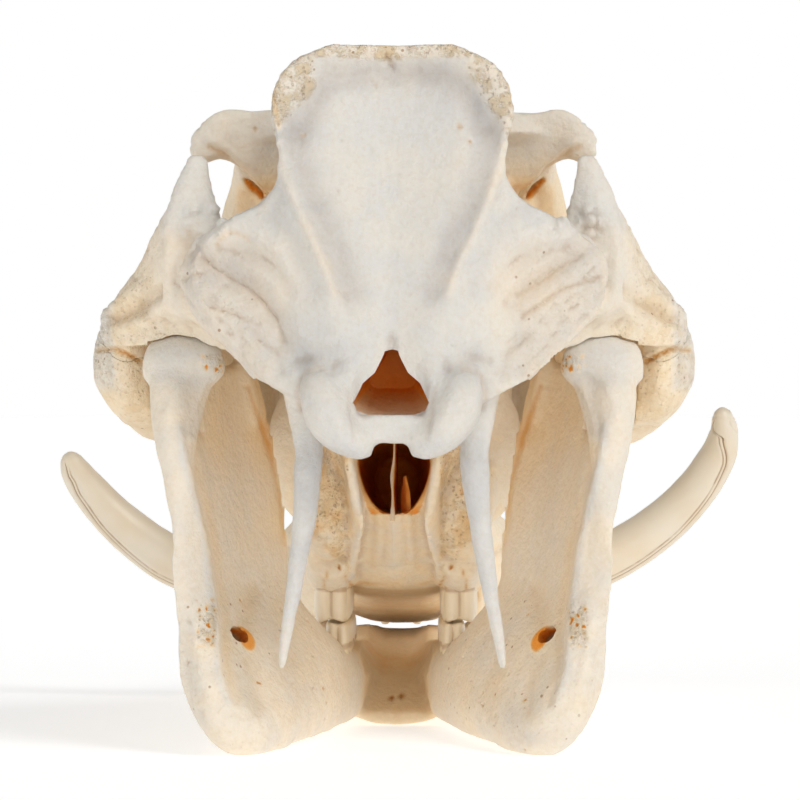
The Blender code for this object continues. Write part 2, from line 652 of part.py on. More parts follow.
def tusk(name, rows, side, grow=0.0, sides=12, steps=3):
    """A tapering curved tusk, a little deeper than it is thick; grow makes its socket."""
    placed = [(side * x, y, z, r + grow, 0.93 * r + grow) for x, y, z, r in rows]
    if grow:
        start, after = np.array(placed[0]), np.array(placed[1])
        placed[0] = tuple(start - (after - start) * (2 * grow / np.linalg.norm(after[:3] - start[:3])))
    return tube(name, placed, sides=sides, steps=steps)


def box(name, low, high):
    x0, y0, z0 = low
    x1, y1, z1 = high
    rings = [[(x0, y, z0), (x1, y, z0), (x1, y, z1), (x0, y, z1)] for y in (y0, y1)]
    return skin(name, rings)


def suture_y(height):
    """How far forward the suture between braincase and snout lies at a height."""
    return SUTURE_FOOT[0] + SUTURE_LEAN * (height - SUTURE_FOOT[1])


def snout_region(name, inset):
    """All that lies ahead of the suture, less an inset."""
    low, high = -20.0, 260.0
    outline = [(suture_y(low) + inset, low), (400.0, low), (400.0, high), (suture_y(high) + inset, high)]
    return skin(name, [[(x, y, z) for y, z in outline] for x in (-150.0, 150.0)])


def cheek_region(name, inset):
    """The cheek bone's part of the arch, outside a slanting plane, below and ahead of two sutures."""
    floor_z = 80.0
    rear_y = 60.0 + inset
    top_rear = CHEEK_TOP[1] + CHEEK_RISE * (rear_y - CHEEK_TOP[0]) - inset
    front_floor = suture_y(floor_z) - inset
    front_top = (suture_y(0.0) - inset + SUTURE_LEAN * (CHEEK_TOP[1] - CHEEK_RISE * CHEEK_TOP[0] - inset))
    front_top /= 1 - SUTURE_LEAN * CHEEK_RISE
    top_front = CHEEK_TOP[1] + CHEEK_RISE * (front_top - CHEEK_TOP[0]) - inset
    outline = [(rear_y, floor_z), (rear_y, top_rear), (front_top, top_front), (front_floor, floor_z)]
    inner = [(CHEEK_INNER - 0.25 * (y - 60.0) + inset, y, z) for y, z in outline]
    outer = [(130.0, y, z) for y, z in outline]
    return skin(name, [inner, outer])


def split_off(name, body, regions, operation):
    """A copy of a body inside a region, or outside some, as a body of its own."""
    piece = add_object(name, body.data.copy())
    combine(piece, regions, operation)
    keep_largest(piece)
    return piece


def material(name, colour, roughness):
    finish = bpy.data.materials.new(name)
    finish.use_nodes = True
    shader = finish.node_tree.nodes["Principled BSDF"]
    shader.inputs["Base Color"].default_value = (*colour, 1.0)
    shader.inputs["Roughness"].default_value = roughness
    shader.inputs["Metallic"].default_value = 0.0
    return finish


def build_cranium():
    body = fuse("cranium", cranium_pieces())
    combine(body, cranium_hollows(), "DIFFERENCE", solver="MANIFOLD")
    soften(body)
    keep_largest(body)
    reduce_faces(body, CRANIUM_FACES)
    combine(body, upper_teeth() + paroccipital_processes(), "UNION")
    sockets = [tusk("socket", UPPER_TUSK_RIGHT, 1, grow=GAP), tusk("socket", UPPER_TUSK_LEFT, -1, grow=GAP)]
    combine(body, sockets, "DIFFERENCE")
    keep_largest(body)
    return body


def build_mandible():
    body = fuse("mandible", mandible_pieces())
    combine(body, mandible_hollows(), "DIFFERENCE", solver="MANIFOLD")
    soften(body)
    keep_largest(body)
    reduce_faces(body, MANDIBLE_FACES)
    combine(body, lower_teeth(), "UNION")
    cutters = [tusk("socket", LOWER_TUSK, side, grow=GAP) for side in (1, -1)]
    cutters.append(box("floor", (-150.0, -50.0, -40.0), (150.0, 400.0, 0.0)))
    combine(body, cutters, "DIFFERENCE")
    keep_largest(body)
    return body


def split_cranium(body):
    """Parts the upper skull at its sutures into braincase, snout and two cheek bones."""
    cheeks = []
    for name, flip in (("cheekbone_right", False), ("cheekbone_left", True)):
        region = cheek_region("region", GAP)
        if flip:
            other = mirrored(region)
            discard([region])
            region = other
        cheeks.append(split_off(name, body, [region], "INTERSECT"))
    snout = split_off("snout", body, [snout_region("region", GAP)], "INTERSECT")
    outside = [snout_region("region", 0.0)] + both(cheek_region("region", 0.0))
    braincase = split_off("braincase", body, outside, "DIFFERENCE")
    discard([body])
    return [braincase, snout] + cheeks


def main():
    clear_scene()
    bone = material("bone", (0.80, 0.75, 0.66), 0.62)
    jaw_bone = material("jaw_bone", (0.80, 0.70, 0.56), 0.6)
    ivory = material("ivory", (0.78, 0.72, 0.58), 0.38)
    upper = split_cranium(build_cranium())
    mandible = build_mandible()
    tusks = [
        tusk("tusk_upper_right", UPPER_TUSK_RIGHT, 1),
        tusk("tusk_upper_left", UPPER_TUSK_LEFT, -1),
        tusk("tusk_lower_right", LOWER_TUSK, 1),
        tusk("tusk_lower_left", LOWER_TUSK, -1),
    ]
    for items, finish in ((upper, bone), ([mandible], jaw_bone), (tusks, ivory)):
        for item in items:
            item.data.materials.clear()
            item.data.materials.append(finish)
            item.data.name = item.name


if __name__ == "__main__":
    main()
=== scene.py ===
"""Warthog skull: its bones, teeth and tusks with their finishes, on a pale studio floor.

All shapes are written in millimetres in the skull's own frame: x to the animal's right,
y forward from the rear face of the occipital condyles, z up from the floor.
place() turns them into metres in the frame's own axes.
"""
import math

import bmesh
import bpy
import numpy as np
from bpy.props import FloatProperty, FloatVectorProperty, IntProperty, PointerProperty
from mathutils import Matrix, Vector


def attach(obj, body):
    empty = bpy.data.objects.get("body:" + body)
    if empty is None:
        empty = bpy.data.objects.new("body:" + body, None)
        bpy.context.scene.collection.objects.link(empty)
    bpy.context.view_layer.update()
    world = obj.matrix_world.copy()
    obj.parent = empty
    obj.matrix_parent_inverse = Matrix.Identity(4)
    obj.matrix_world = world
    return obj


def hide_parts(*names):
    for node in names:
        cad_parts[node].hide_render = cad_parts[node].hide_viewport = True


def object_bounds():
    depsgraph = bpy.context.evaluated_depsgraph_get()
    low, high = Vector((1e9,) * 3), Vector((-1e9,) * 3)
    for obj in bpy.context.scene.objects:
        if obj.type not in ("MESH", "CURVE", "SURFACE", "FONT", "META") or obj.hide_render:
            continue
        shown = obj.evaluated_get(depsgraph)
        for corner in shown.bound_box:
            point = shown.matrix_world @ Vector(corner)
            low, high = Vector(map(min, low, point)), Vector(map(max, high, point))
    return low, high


bl_info = {
    "name": "Warthog Skull",
    "version": (1, 0, 0),
    "blender": (4, 5, 0),
    "location": "View3D > Sidebar > Skull",
    "description": "Models the bones, teeth and tusks of a warthog skull over its packed solids",
    "category": "Add Mesh",
}

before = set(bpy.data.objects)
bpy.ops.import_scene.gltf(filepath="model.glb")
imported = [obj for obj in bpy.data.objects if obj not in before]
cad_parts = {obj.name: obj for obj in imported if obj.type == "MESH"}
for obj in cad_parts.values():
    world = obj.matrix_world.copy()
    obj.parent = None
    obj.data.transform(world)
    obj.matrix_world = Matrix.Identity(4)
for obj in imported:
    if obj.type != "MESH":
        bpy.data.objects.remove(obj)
SOLID_BOX = [list(corner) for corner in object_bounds()]

# Axes of the skull's own frame, and the directions that a limb's first radius may follow
X, Y, Z = range(3)
SIDEWAYS, FORWARD, UPWARD = (1, 0, 0), (0, 1, 0), (0, 0, 1)

# Points round a loft, and steps between the rows of lofts and of plates
LOFT_SIDES = 36
LOFT_STEPS = 4
PLATE_STEPS = 5

# Driving dimensions in millimetres
MILLIMETRE = 0.001
SKULL_LENGTH = 360.0
GAP = 0.3
# Suture between braincase and snout: a point of it as y and z, and its lean
SUTURE_FOOT = (132, 45)
SUTURE_LEAN = 0.213
# Upper suture of the cheek bone: a point of it as y and z, and its rise; and where its inner side starts
CHEEK_TOP = (80, 142)
CHEEK_RISE = 0.7
CHEEK_INNER = 72.0
CHEEK_DIP = 0.1
CHEEK_SHOULDER = 97.0
# The cheek bone's region: where it starts from behind and from below, its slant and its outer side
CHEEK_BACK = 60.0
CHEEK_FLOOR = 80.0
CHEEK_SLANT = 0.25
CHEEK_OUTER = 130.0
# The snout's region: its heights, its front and its half width
SNOUT_HEIGHTS = (-20.0, 260.0)
SNOUT_FRONT = 400.0
SNOUT_SIDE = 150.0
# Cheek teeth: length of tooth that one rounded column takes, and the gap between teeth
COLUMN_PITCH = 8.5
TOOTH_GAP = 0.4
# Rows of cheek teeth: where they start, their distance from the middle, half width, heights of root and
# crown, lengths from back to front, and how they drift inwards
UPPER_ROW = (136.5, 23.6, 6.4, 60, 40.3, (42, 14, 11), -0.02)
LOWER_ROW = (136, 21.2, 4.6, 24, 39.7, (44, 14, 11), -0.02)
UPPER_INCISOR = [(9, 348, 38, 4, 3.2), (6, 354, 28, 3, 2.4)]
LOWER_INCISORS = (3.6, 10.6, 16.6)
# Heights at which the teeth leave the bone
UPPER_GUM = 52.2
LOWER_GUM = 31.0
UPPER_FRONT_GUM = 37.0
LOWER_FRONT_GUM = 19.0

# Occipital plate: height, half width, ridge place, and how far forward edge, ridge and middle stand
PLATE = [
    (112, 22, 9, 20, 17, 17),
    (121, 33, 11, 20, 15, 16),
    (128, 47, 14, 22, 14, 16),
    (137, 57, 16, 27.5, 13.5, 16.5),
    (148, 68.5, 19, 30.5, 14.5, 18),
    (160, 73.8, 22, 32, 15.5, 20),
    (172, 72.5, 25, 33, 17, 22),
    (181, 61.5, 27.5, 31.5, 18.5, 23.5),
    (190, 43.5, 30, 27.5, 20.5, 25.5),
    (203, 37.8, 33.5, 24.5, 23, 29),
    (216, 41.7, 36.5, 24, 24.5, 32),
    (228, 39.5, 35, 24.5, 25.5, 33.5),
    (236, 33, 29.5, 26, 26.5, 34),
    (241.6, 21, 18, 28, 28, 33),
]
PLATE_THICKNESS = 8.0

# Braincase and snout: forward, low, high, half width low, in the middle and high
BRAINCASE = [
    (26, 107.5, 160, 20, 26, 20),
    (31, 107.5, 214, 22, 30, 26),
    (40, 107, 235, 24, 38, 31),
    (55, 106.5, 233, 25, 40, 30),
    (72, 106, 228, 24, 40, 33),
    (88, 105, 221, 22, 41, 42),
    (105, 101, 214, 21, 44, 53),
    (125, 92, 208, 22, 45, 52),
    (145, 80, 200, 24, 44, 42),
]
SNOUT = [
    (100, 81, 205, 15, 34, 40),
    (118, 71, 208, 17, 38, 43),
    (136, 60, 203, 24, 42, 42),
    (152, 52, 195, 31, 43, 39),
    (175, 49.5, 180, 32, 42, 35),
    (200, 46, 163.5, 31, 38, 31),
    (230, 42, 143.5, 29, 34, 28.5),
    (260, 38, 123.5, 29, 32, 26),
    (285, 34, 107, 31, 33, 24),
    (305, 31, 96, 28, 29, 22),
    (325, 29, 86, 23, 25, 19),
    (343, 29.5, 78, 18, 20, 14),
    (353, 30.5, 73, 14.5, 16.5, 10),
    (361, 33.5, 62, 10, 11.5, 6),
]
# Frontal roof: forward, half width, rim height, height in the middle
FRONTAL = [
    (66, 33, 226, 228),
    (76, 37, 224, 222),
    (84, 50, 223.5, 217.5),
    (93, 61, 223.5, 214),
    (103, 64, 222.5, 211),
    (114, 62, 219.5, 208),
    (127, 57, 213, 203.5),
    (141, 49, 204, 197.5),
    (157, 41, 192.5, 188.5),
]
FRONTAL_RIM = 9.0
FRONTAL_MIDDLE = 16.0

# Zygomatic arch: a curved plate in rows from back to front, each from the upper to the lower edge
# as points with the thickness there
ARCH = [
    [(64.5, 48, 203, 2.5), (70, 48, 190, 7), (72.5, 48, 176, 11), (71, 50, 161, 13), (66, 53, 147, 12)],
    [(70, 56, 192, 4), (76, 58, 183, 8), (79.8, 60, 172, 9.5), (80.5, 61, 159, 10), (76.5, 62, 148, 9)],
    [(76.5, 68, 184, 4.5), (80.6, 69, 176, 7.5), (84.2, 69, 166.5, 9), (90.5, 71, 155.5, 9),
        (87.5, 70, 145, 8)],
    [(78, 80, 181, 5), (83, 80, 170, 8), (92.5, 80, 155, 9), (97, 79, 137, 9), (86, 77, 118, 8)],
    [(79, 91, 180.5, 5), (86, 91, 166.5, 8), (98, 91, 150, 9), (101, 90, 129, 9.5), (86.5, 86, 111, 8)],
    [(79, 103, 179, 6), (85.5, 103, 164, 8.5), (97, 103, 147, 10), (99.5, 102, 126, 10),
        (85, 99, 108.5, 8.5)],
    [(76, 118, 175, 7), (82, 118, 159, 9.5), (91, 118, 141, 11), (92, 117, 120, 11), (80, 114, 104.5, 9)],
    [(69, 134, 170, 8), (74, 134, 153, 11), (80, 133, 135, 12), (80, 132, 115, 12), (71, 130, 101, 9.5)],
    [(58, 150, 164, 9), (62, 150, 146, 13), (66, 150, 128, 14), (66, 149, 110, 13), (59, 147, 97, 10)],
    [(44, 168, 154, 10), (47, 169, 138, 13), (49.5, 169, 121, 14), (49, 168, 106, 13), (44, 166, 93, 11)],
    [(30, 190, 142, 9), (31, 192, 128, 10), (32, 192, 114, 10), (32, 190, 102, 10), (30, 188, 92, 9)],
]
# Pterygoid and palatine wall beside the choana, from the back forward
PTERYGOID = [
    [(17.5, 82, 112, 5), (16.8, 86, 100, 3), (14.2, 91, 88, 2.6)],
    [(17, 94, 110, 6.5), (14.6, 96, 92, 3.8), (12.4, 98, 76, 3)],
    [(18, 112, 106, 8), (15, 113, 84, 5), (13.8, 114, 66.5, 3.8)],
    [(20, 130, 100, 8), (18, 132, 78, 7), (16.8, 133, 57.5, 4.5)],
    [(21, 152, 92, 8), (20, 152, 72, 7), (18, 152, 50, 6)],
]
# Outline of the foramen magnum on one side, from its top notch down as x and z, and its cutter's stations:
# y, size and rise of that outline
FORAMEN = [(0, 137.2), (2, 137), (3.2, 134.5), (5.5, 130.2), (9.6, 126.8), (11.8, 123.5), (12.6, 120.4),
    (11.4, 117.6), (8, 116.2), (0, 115.6)]
FORAMEN_STATIONS = [(-12, 1.06, 0.4), (14, 1.0, 0), (24, 1.12, 0.8), (44, 0.62, 5.0)]

# Forms of the right side of the upper skull: kind, name and what makes it; a plate has rows of points with
# the thickness there, a limb rows of centres with one or two radii, and a lump its centre and three radii
SKULL_SIDE = [
    ("plate", "arch", ARCH),
    ("plate", "pterygoid", PTERYGOID),
    # Root of the arch beside the braincase, and the ear region under it
    ("lump", "arch_root", (52, 55, 158), (22, 17, 15)),
    ("lump", "wing_back", (61, 51, 168), (10, 12, 15)),
    ("lump", "ear", (37, 47, 139), (13, 14, 13)),
    # Pointed rear wall of the temporal space, seen over the wing of the plate
    ("plate", "spike", [
        [(56, 53, 164, 8), (69, 51, 164, 10), (79.5, 54, 164, 9)],
        [(57.5, 51, 178, 7), (69.5, 49, 178, 9), (80.8, 52, 178, 8)],
        [(59.6, 50, 186, 6), (69, 48, 186, 9), (79.2, 51, 186, 7)],
        [(61.4, 50, 192, 6), (68.5, 48, 192, 8.5), (77, 51, 192, 6.5)],
        [(62.4, 50, 198, 6), (67.8, 49, 198, 8), (73.6, 51, 198, 6.5)],
        [(63.6, 50, 205, 6), (66.2, 49.5, 205, 7), (69, 51, 205, 6)],
    ]),
    # Wall of the squamosal over and behind the jaw joint
    ("plate", "joint_wall", [
        [(100, 76, 154, 6), (101.6, 75, 147, 6), (101.4, 75, 140.6, 5)],
        [(92.5, 70, 160, 8), (93.5, 68, 150, 8), (93, 68, 138.6, 6)],
        [(84, 65, 166, 9), (84, 62, 153, 9), (84, 62, 139, 7)],
        [(74, 61, 168, 9), (74, 59, 155, 9), (74, 59, 139, 7)],
        [(64, 58, 166, 9), (64, 56, 154, 9), (63, 56, 139, 7)],
        [(54, 55, 162, 9), (54, 52, 150, 9), (53, 52, 137, 6)],
        [(46, 50, 156, 9), (46, 47, 145, 9), (46, 46, 134, 6)],
    ]),
    ("lump", "glenoid", (70, 61, 156), (16, 14, 9)),
    ("limb", "condyle", [
        (22.6, 26, 133, 8, 6),
        (23.2, 20.5, 127.5, 10, 7.6),
        (22.6, 14.4, 120.5, 12, 8.2),
        (19.8, 12.4, 114, 12, 8),
        (15.4, 13.4, 108.6, 11, 6.4),
        (10.8, 16, 104.8, 9, 3.8),
    ], FORWARD),
    ("limb", "foramen_rim", [(12.5, 17, 134, 5, 4), (15.8, 16, 126, 7, 5), (16.4, 13.5, 118, 8.5, 5.2),
        (14.5, 12.5, 110.5, 8.5, 5.2), (8, 14, 107.5, 8, 4)], FORWARD),
    ("lump", "lip_point", (8.4, 13, 104.2), (2.6, 4, 2.6)),
    # Postorbital process hangs from the outer corner of the frontal
    ("plate", "postorbital", [
        [(38, 92, 223, 8), (38, 96, 208, 10), (38, 101, 190, 7)],
        [(46, 91, 223.5, 8), (46, 94, 211, 10), (46, 98, 194.5, 6)],
        [(53, 90, 224, 8), (53, 92, 214, 10), (53, 95, 200.5, 6)],
        [(59.5, 90, 224.4, 8), (59.5, 91, 215, 10), (59.5, 93, 205, 6)],
        [(64, 90, 222.2, 8), (64.6, 90, 213.5, 10), (64, 91, 204.8, 7)],
        [(68.6, 90, 218.2, 7), (69.2, 90, 211, 9), (68, 91, 203.4, 7)],
        [(71.6, 90, 214, 5), (72, 90, 210.5, 6), (71.2, 91, 206.4, 5)],
    ]),
    ("lump", "palatine_face", (24, 126, 86), (12.5, 19, 23)),
    ("lump", "palatine_wing", (30, 135, 103), (17, 12, 28)),
    # Face below the front of the orbit, then the orbit's front rim
    ("limb", "face", [(38, 128, 196, 14, 12), (42, 144, 182, 16, 13), (44, 158, 162, 18, 12),
        (36, 178, 142, 17, 10), (26, 200, 126, 12, 8)]),
    ("limb", "orbit_rim", [(50, 126, 206, 8), (53, 138, 197, 8), (56, 145, 184, 9), (61, 147, 168, 10)]),
    # Bone that holds the rear of the tooth row
    ("limb", "tooth_bone", [(24, 130, 68, 13, 8), (24, 145, 62, 13, 9.5), (25, 175, 62, 15, 10),
        (24, 205, 62, 17, 9), (24, 235, 64, 15, 7)]),
    # Socket of the tusk and the crest over it
    ("limb", "tusk_socket", [(24, 272, 50, 16), (36, 281, 49, 16.5), (47, 287, 48, 15.5),
        (56, 291, 48.5, 13)]),
    ("plate", "socket_crest", [
        [(20, 250, 84, 8), (28, 252, 72, 9), (32, 254, 58, 8)],
        [(25, 268, 83, 7), (35, 271, 72, 9), (42, 274, 58, 9)],
        [(29, 282, 77, 6), (39, 284, 70, 8), (50, 286, 58, 9)],
        [(28, 294, 66, 5), (38, 294, 62, 6), (50, 293, 55, 8)],
    ]),
    ("limb", "spine_root", [(31, 33, 134, 8, 8), (28.6, 30.5, 112, 6, 6), (27.6, 28, 98, 4.5, 4.8)],
        FORWARD),
]

# Bone under the braincase, the long ear spine beside the condyle and the small point under the wing
BASIOCCIPITAL = [(0, 8.5, 111.8, 4.9, 14), (0, 14, 111.8, 5.2, 14), (0, 40, 112, 5, 12), (0, 90, 111, 5, 15)]
EAR_SPINE = [
    (30, 35, 128, 5, 5),
    (28.2, 31, 113, 4.8, 5),
    (28, 28.5, 99, 4.6, 4.7),
    (29.2, 28.5, 84, 4, 4),
    (31.5, 30, 68, 3.2, 3.2),
    (33.7, 32, 54, 2.6, 2.5),
    (36, 34, 41, 2.1, 2),
    (37.2, 35, 33, 1.5, 1.4),
    (37.5, 35.2, 30.6, 0.9, 0.9),
]
WING_POINT = [(52.5, 32, 141, 4.5, 3.5), (49, 30.5, 135, 3.4, 2.8), (46.8, 29.6, 131, 2, 1.9),
              (45.8, 29.2, 128.6, 0.8, 0.8)]

# Openings on the middle plane and openings of the right side; a loft has rows as the braincase has
MIDDLE_HOLLOWS = [
    ("loft", "choana", [
        (78, 66, 106, 13, 15.5, 15),
        (90, 78, 106.4, 9.5, 13.2, 15.5),
        (104, 80.5, 106.4, 8.5, 12, 15),
        (130, 79, 106, 8.5, 12, 13),
        (170, 78, 100, 5, 8, 7),
    ], 2.6),
    ("loft", "nasal_opening", [
        (318, 52, 66, 5, 6, 5),
        (334, 47, 69, 10, 12, 9),
        (352, 45, 67, 13, 16, 12),
        (372, 44, 76, 20, 22, 16),
    ]),
    # Notch between the nasal tips and the premaxilla, open to both sides
    ("limb", "nasal_notch", [(-30, 360, 58, 9, 8), (0, 357, 57, 10, 9), (30, 360, 58, 9, 8)], FORWARD),
    ("limb", "palate_vault", [(0, 150, 43, 4, 11), (0, 175, 42, 6, 14), (0, 215, 38, 6, 15),
        (0, 262, 33, 5, 13), (0, 300, 26, 3, 9)]),
]

SIDE_HOLLOWS = [
    ("limb", "orbit", [(55, 114, 194, 11), (60, 113, 195, 15.5), (69, 112, 195.5, 18.5),
        (96, 110, 198, 24)]),
    # Temporal space between braincase and arch
    ("limb", "temporal", [
        (56, 66, 250, 15, 15),
        (57, 67, 212, 15, 16),
        (58, 72, 192, 17, 14),
        (61, 80, 174, 18, 14),
        (64, 90, 150, 19, 14),
        (60, 97, 118, 20, 15),
    ], FORWARD),
    # Space under the arch for the lower jaw
    ("limb", "jaw_space", [(36, 70, 112, 14, 6), (50, 86, 118, 20, 13), (52, 104, 124, 22, 17),
        (50, 124, 118, 20, 11)]),
    ("limb", "infraorbital", [(60, 190, 104, 6, 4), (36, 176, 106, 5, 3.5)]),
]

# Septum of the choana and the two thin blades that stand beside it
THIN_BONES = [
    ("plate", "septum", [
        [(0.4, 90, 109, 0.9), (0, 112, 109, 1.2), (0, 150, 109, 1.6)],
        [(0.2, 91, 101, 0.8), (-0.1, 112, 101, 1), (0, 150, 101, 1.6)],
        [(-0.9, 93, 94, 0.8), (-0.4, 112, 94, 1), (0, 150, 94, 1.6)],
        [(-0.4, 95, 87, 0.9), (-0.4, 112, 87, 1), (0, 150, 87, 1.6)],
        [(-0.8, 97, 78, 1.4), (-0.4, 112, 78, 1.6), (0, 150, 78, 1.6)],
    ]),
    ("plate", "blade_left", [
        [(-4.4, 107, 79, 1), (-3.4, 110, 79, 1), (-2.4, 114, 79, 1)],
        [(-4.4, 106, 86, 1), (-3.2, 110, 86, 1), (-2.2, 114, 86, 1)],
        [(-3.8, 106, 91, 0.7), (-3.2, 108, 92.4, 0.7), (-2.8, 111, 91, 0.7)],
    ]),
    ("plate", "blade_right", [
        [(5.6, 107, 79, 1), (4.4, 110, 79, 1), (3, 114, 79, 1)],
        [(5.2, 106, 87, 1), (4, 110, 87, 1), (2.8, 114, 87, 1)],
        [(4.4, 106, 92, 0.7), (3.8, 108, 94, 0.7), (3.4, 111, 92, 0.7)],
    ]),
]

# Lower jaw: the ramus in rows from the bottom up, each from the rear to the front edge
# as points with the thickness there
RAMUS = [
    [(58.5, 48, 9, 15), (48, 74, 8, 15), (39, 101, 10, 15)],
    [(66.3, 44.5, 24, 14.5), (55.5, 76, 24, 9), (42, 107, 25, 13)],
    [(67.5, 42.5, 45, 14.5), (58, 78, 45, 6.5), (41, 114, 45, 12)],
    [(70.2, 43, 66, 13.5), (59, 79, 66, 6), (40, 118, 66, 10)],
    [(72.6, 45, 88, 11), (61, 81, 88, 6), (42, 116, 88, 7.5)],
    [(75.3, 50, 108, 10.5), (64, 83, 107, 6), (45, 113, 108, 6.5)],
    [(76, 58, 124, 11.5), (66, 84, 120, 6.5), (49, 109, 125, 6)],
    [(72, 69, 132, 8), (64.5, 86, 131, 6), (52, 105, 136, 4.5)],
]
# Joint knob of the jaw: centre and two radii
JOINT_KNOB = [
    (59, 61, 136, 5.5, 6),
    (65, 60, 134.5, 9.6, 9),
    (76, 61, 133.3, 11, 10),
    (85, 63, 135, 7, 7.5),
]
# Inner wall of the jaw, from the rear border to the tooth row, from the bottom up
INNER_WALL = [
    [(54.5, 49, 9, 10), (44.5, 64, 9, 12), (34.5, 86, 9, 12), (26.5, 112, 10, 12), (21.5, 136, 12, 10)],
    [(60, 47.5, 20, 10), (47, 64, 20, 12), (36, 86, 20, 12), (28, 110, 21, 12), (21, 136, 22, 10)],
    [(65.5, 47, 35, 9), (53.5, 68, 35, 11), (42.5, 90, 35, 12), (32.5, 112, 34, 12), (23.5, 136, 31, 9)],
    [(67, 48, 50, 7), (58.5, 72, 50, 8), (48.5, 95, 50, 10), (38.5, 114, 47, 11), (30, 130, 38, 8)],
    [(68.5, 49, 66, 5), (61, 75, 66, 5), (54, 92, 65, 5), (47, 107, 61, 7), (41.5, 117, 55, 8)],
]
# Body of the jaw: centre, half height, half width
JAW_BODY = [
    (49, 64, 12.5, 12.5, 13),
    (45.5, 82, 16, 16.5, 15.5),
    (41, 99, 19.5, 20, 16),
    (35.5, 117, 21.5, 21.5, 15.5),
    (29.5, 136, 19.5, 18.5, 14.5),
    (24.5, 158, 17.5, 15.5, 13),
    (21, 182, 16.5, 15, 12),
    (18, 208, 15.5, 14.5, 12),
    (15, 232, 15.5, 13, 12),
]
# Chin and symphysis: forward, low, high, half width low, in the middle and high
SYMPHYSIS = [
    (167, 0, 5, 8, 15, 15),
    (178, -0.6, 10.5, 10, 18, 18),
    (192, -1, 16.5, 12, 23, 25),
    (215, -1, 23, 12, 25, 28),
    (240, 1, 28.5, 12, 25, 29),
    (265, 4.5, 30.5, 14, 27, 30),
    (287, 8, 31, 18, 33, 33),
    (306, 11.5, 29, 18, 31, 31),
    (323, 14.5, 26, 15, 25, 25),
    (337, 17, 23.5, 12, 19, 19),
]

# Forms of the right half of the lower jaw
JAW_SIDE = [
    ("plate", "ramus", RAMUS),
    ("limb", "jaw_body", JAW_BODY),
    ("plate", "inner_wall", INNER_WALL, 4),
    ("limb", "jaw_keel", [
        (47, 62, 9, 9, 12),
        (40, 82, 11, 11, 13),
        (34.5, 101, 12, 12, 13),
        (29.5, 120, 12.5, 12, 12),
        (25, 142, 11.5, 10.5, 11),
        (21, 165, 10, 9, 10),
    ]),
    # The joint knob is widest on top and narrows down the rear border
    ("limb", "joint_knob", JOINT_KNOB),
    ("limb", "joint_neck", [(72, 60, 134, 12, 8), (74, 56, 121, 10.5, 7.5), (74.4, 52.5, 106, 7.5, 7.5),
        (73.2, 51.5, 92, 6, 6), (72.4, 52, 80, 4.5, 4.5)], SIDEWAYS),
    ("limb", "coronoid", [(50, 108, 116, 10, 3.2), (53, 103, 132, 9, 3), (57, 98, 146, 5.5, 2.2)], FORWARD),
    ("limb", "angle_foot", [(68, 49, 56, 2.5, 2.5), (65.4, 47.5, 40, 5, 5), (62, 46, 25, 7.5, 7),
        (57.5, 45.5, 13.5, 9.5, 9), (52, 47, 8.6, 10, 9), (46, 58, 8.8, 10, 9.5), (41, 74, 9, 10, 10)]),
    ("lump", "tusk_bulge", (34, 289, 21), (14, 17, 12)),
]

# Trough for the tongue, the vessel canal, spare room round the joint knob, and what lies below the floor
TONGUE_TROUGH = [(0, 160, 27, 15, 14), (0, 195, 34, 18, 15), (0, 250, 41, 17, 16), (0, 300, 44, 18, 18),
                 (0, 350, 47, 20, 20)]
JAW_CANAL = [(46.5, 49, 47, 3, 4.6), (52.5, 61, 40.4, 3.2, 4.4), (58.5, 74, 35, 2.6, 3)]
SOCKET_SPARE = 0.9
BELOW_FLOOR = ((-150, -50, -40), (150, 400, 0))

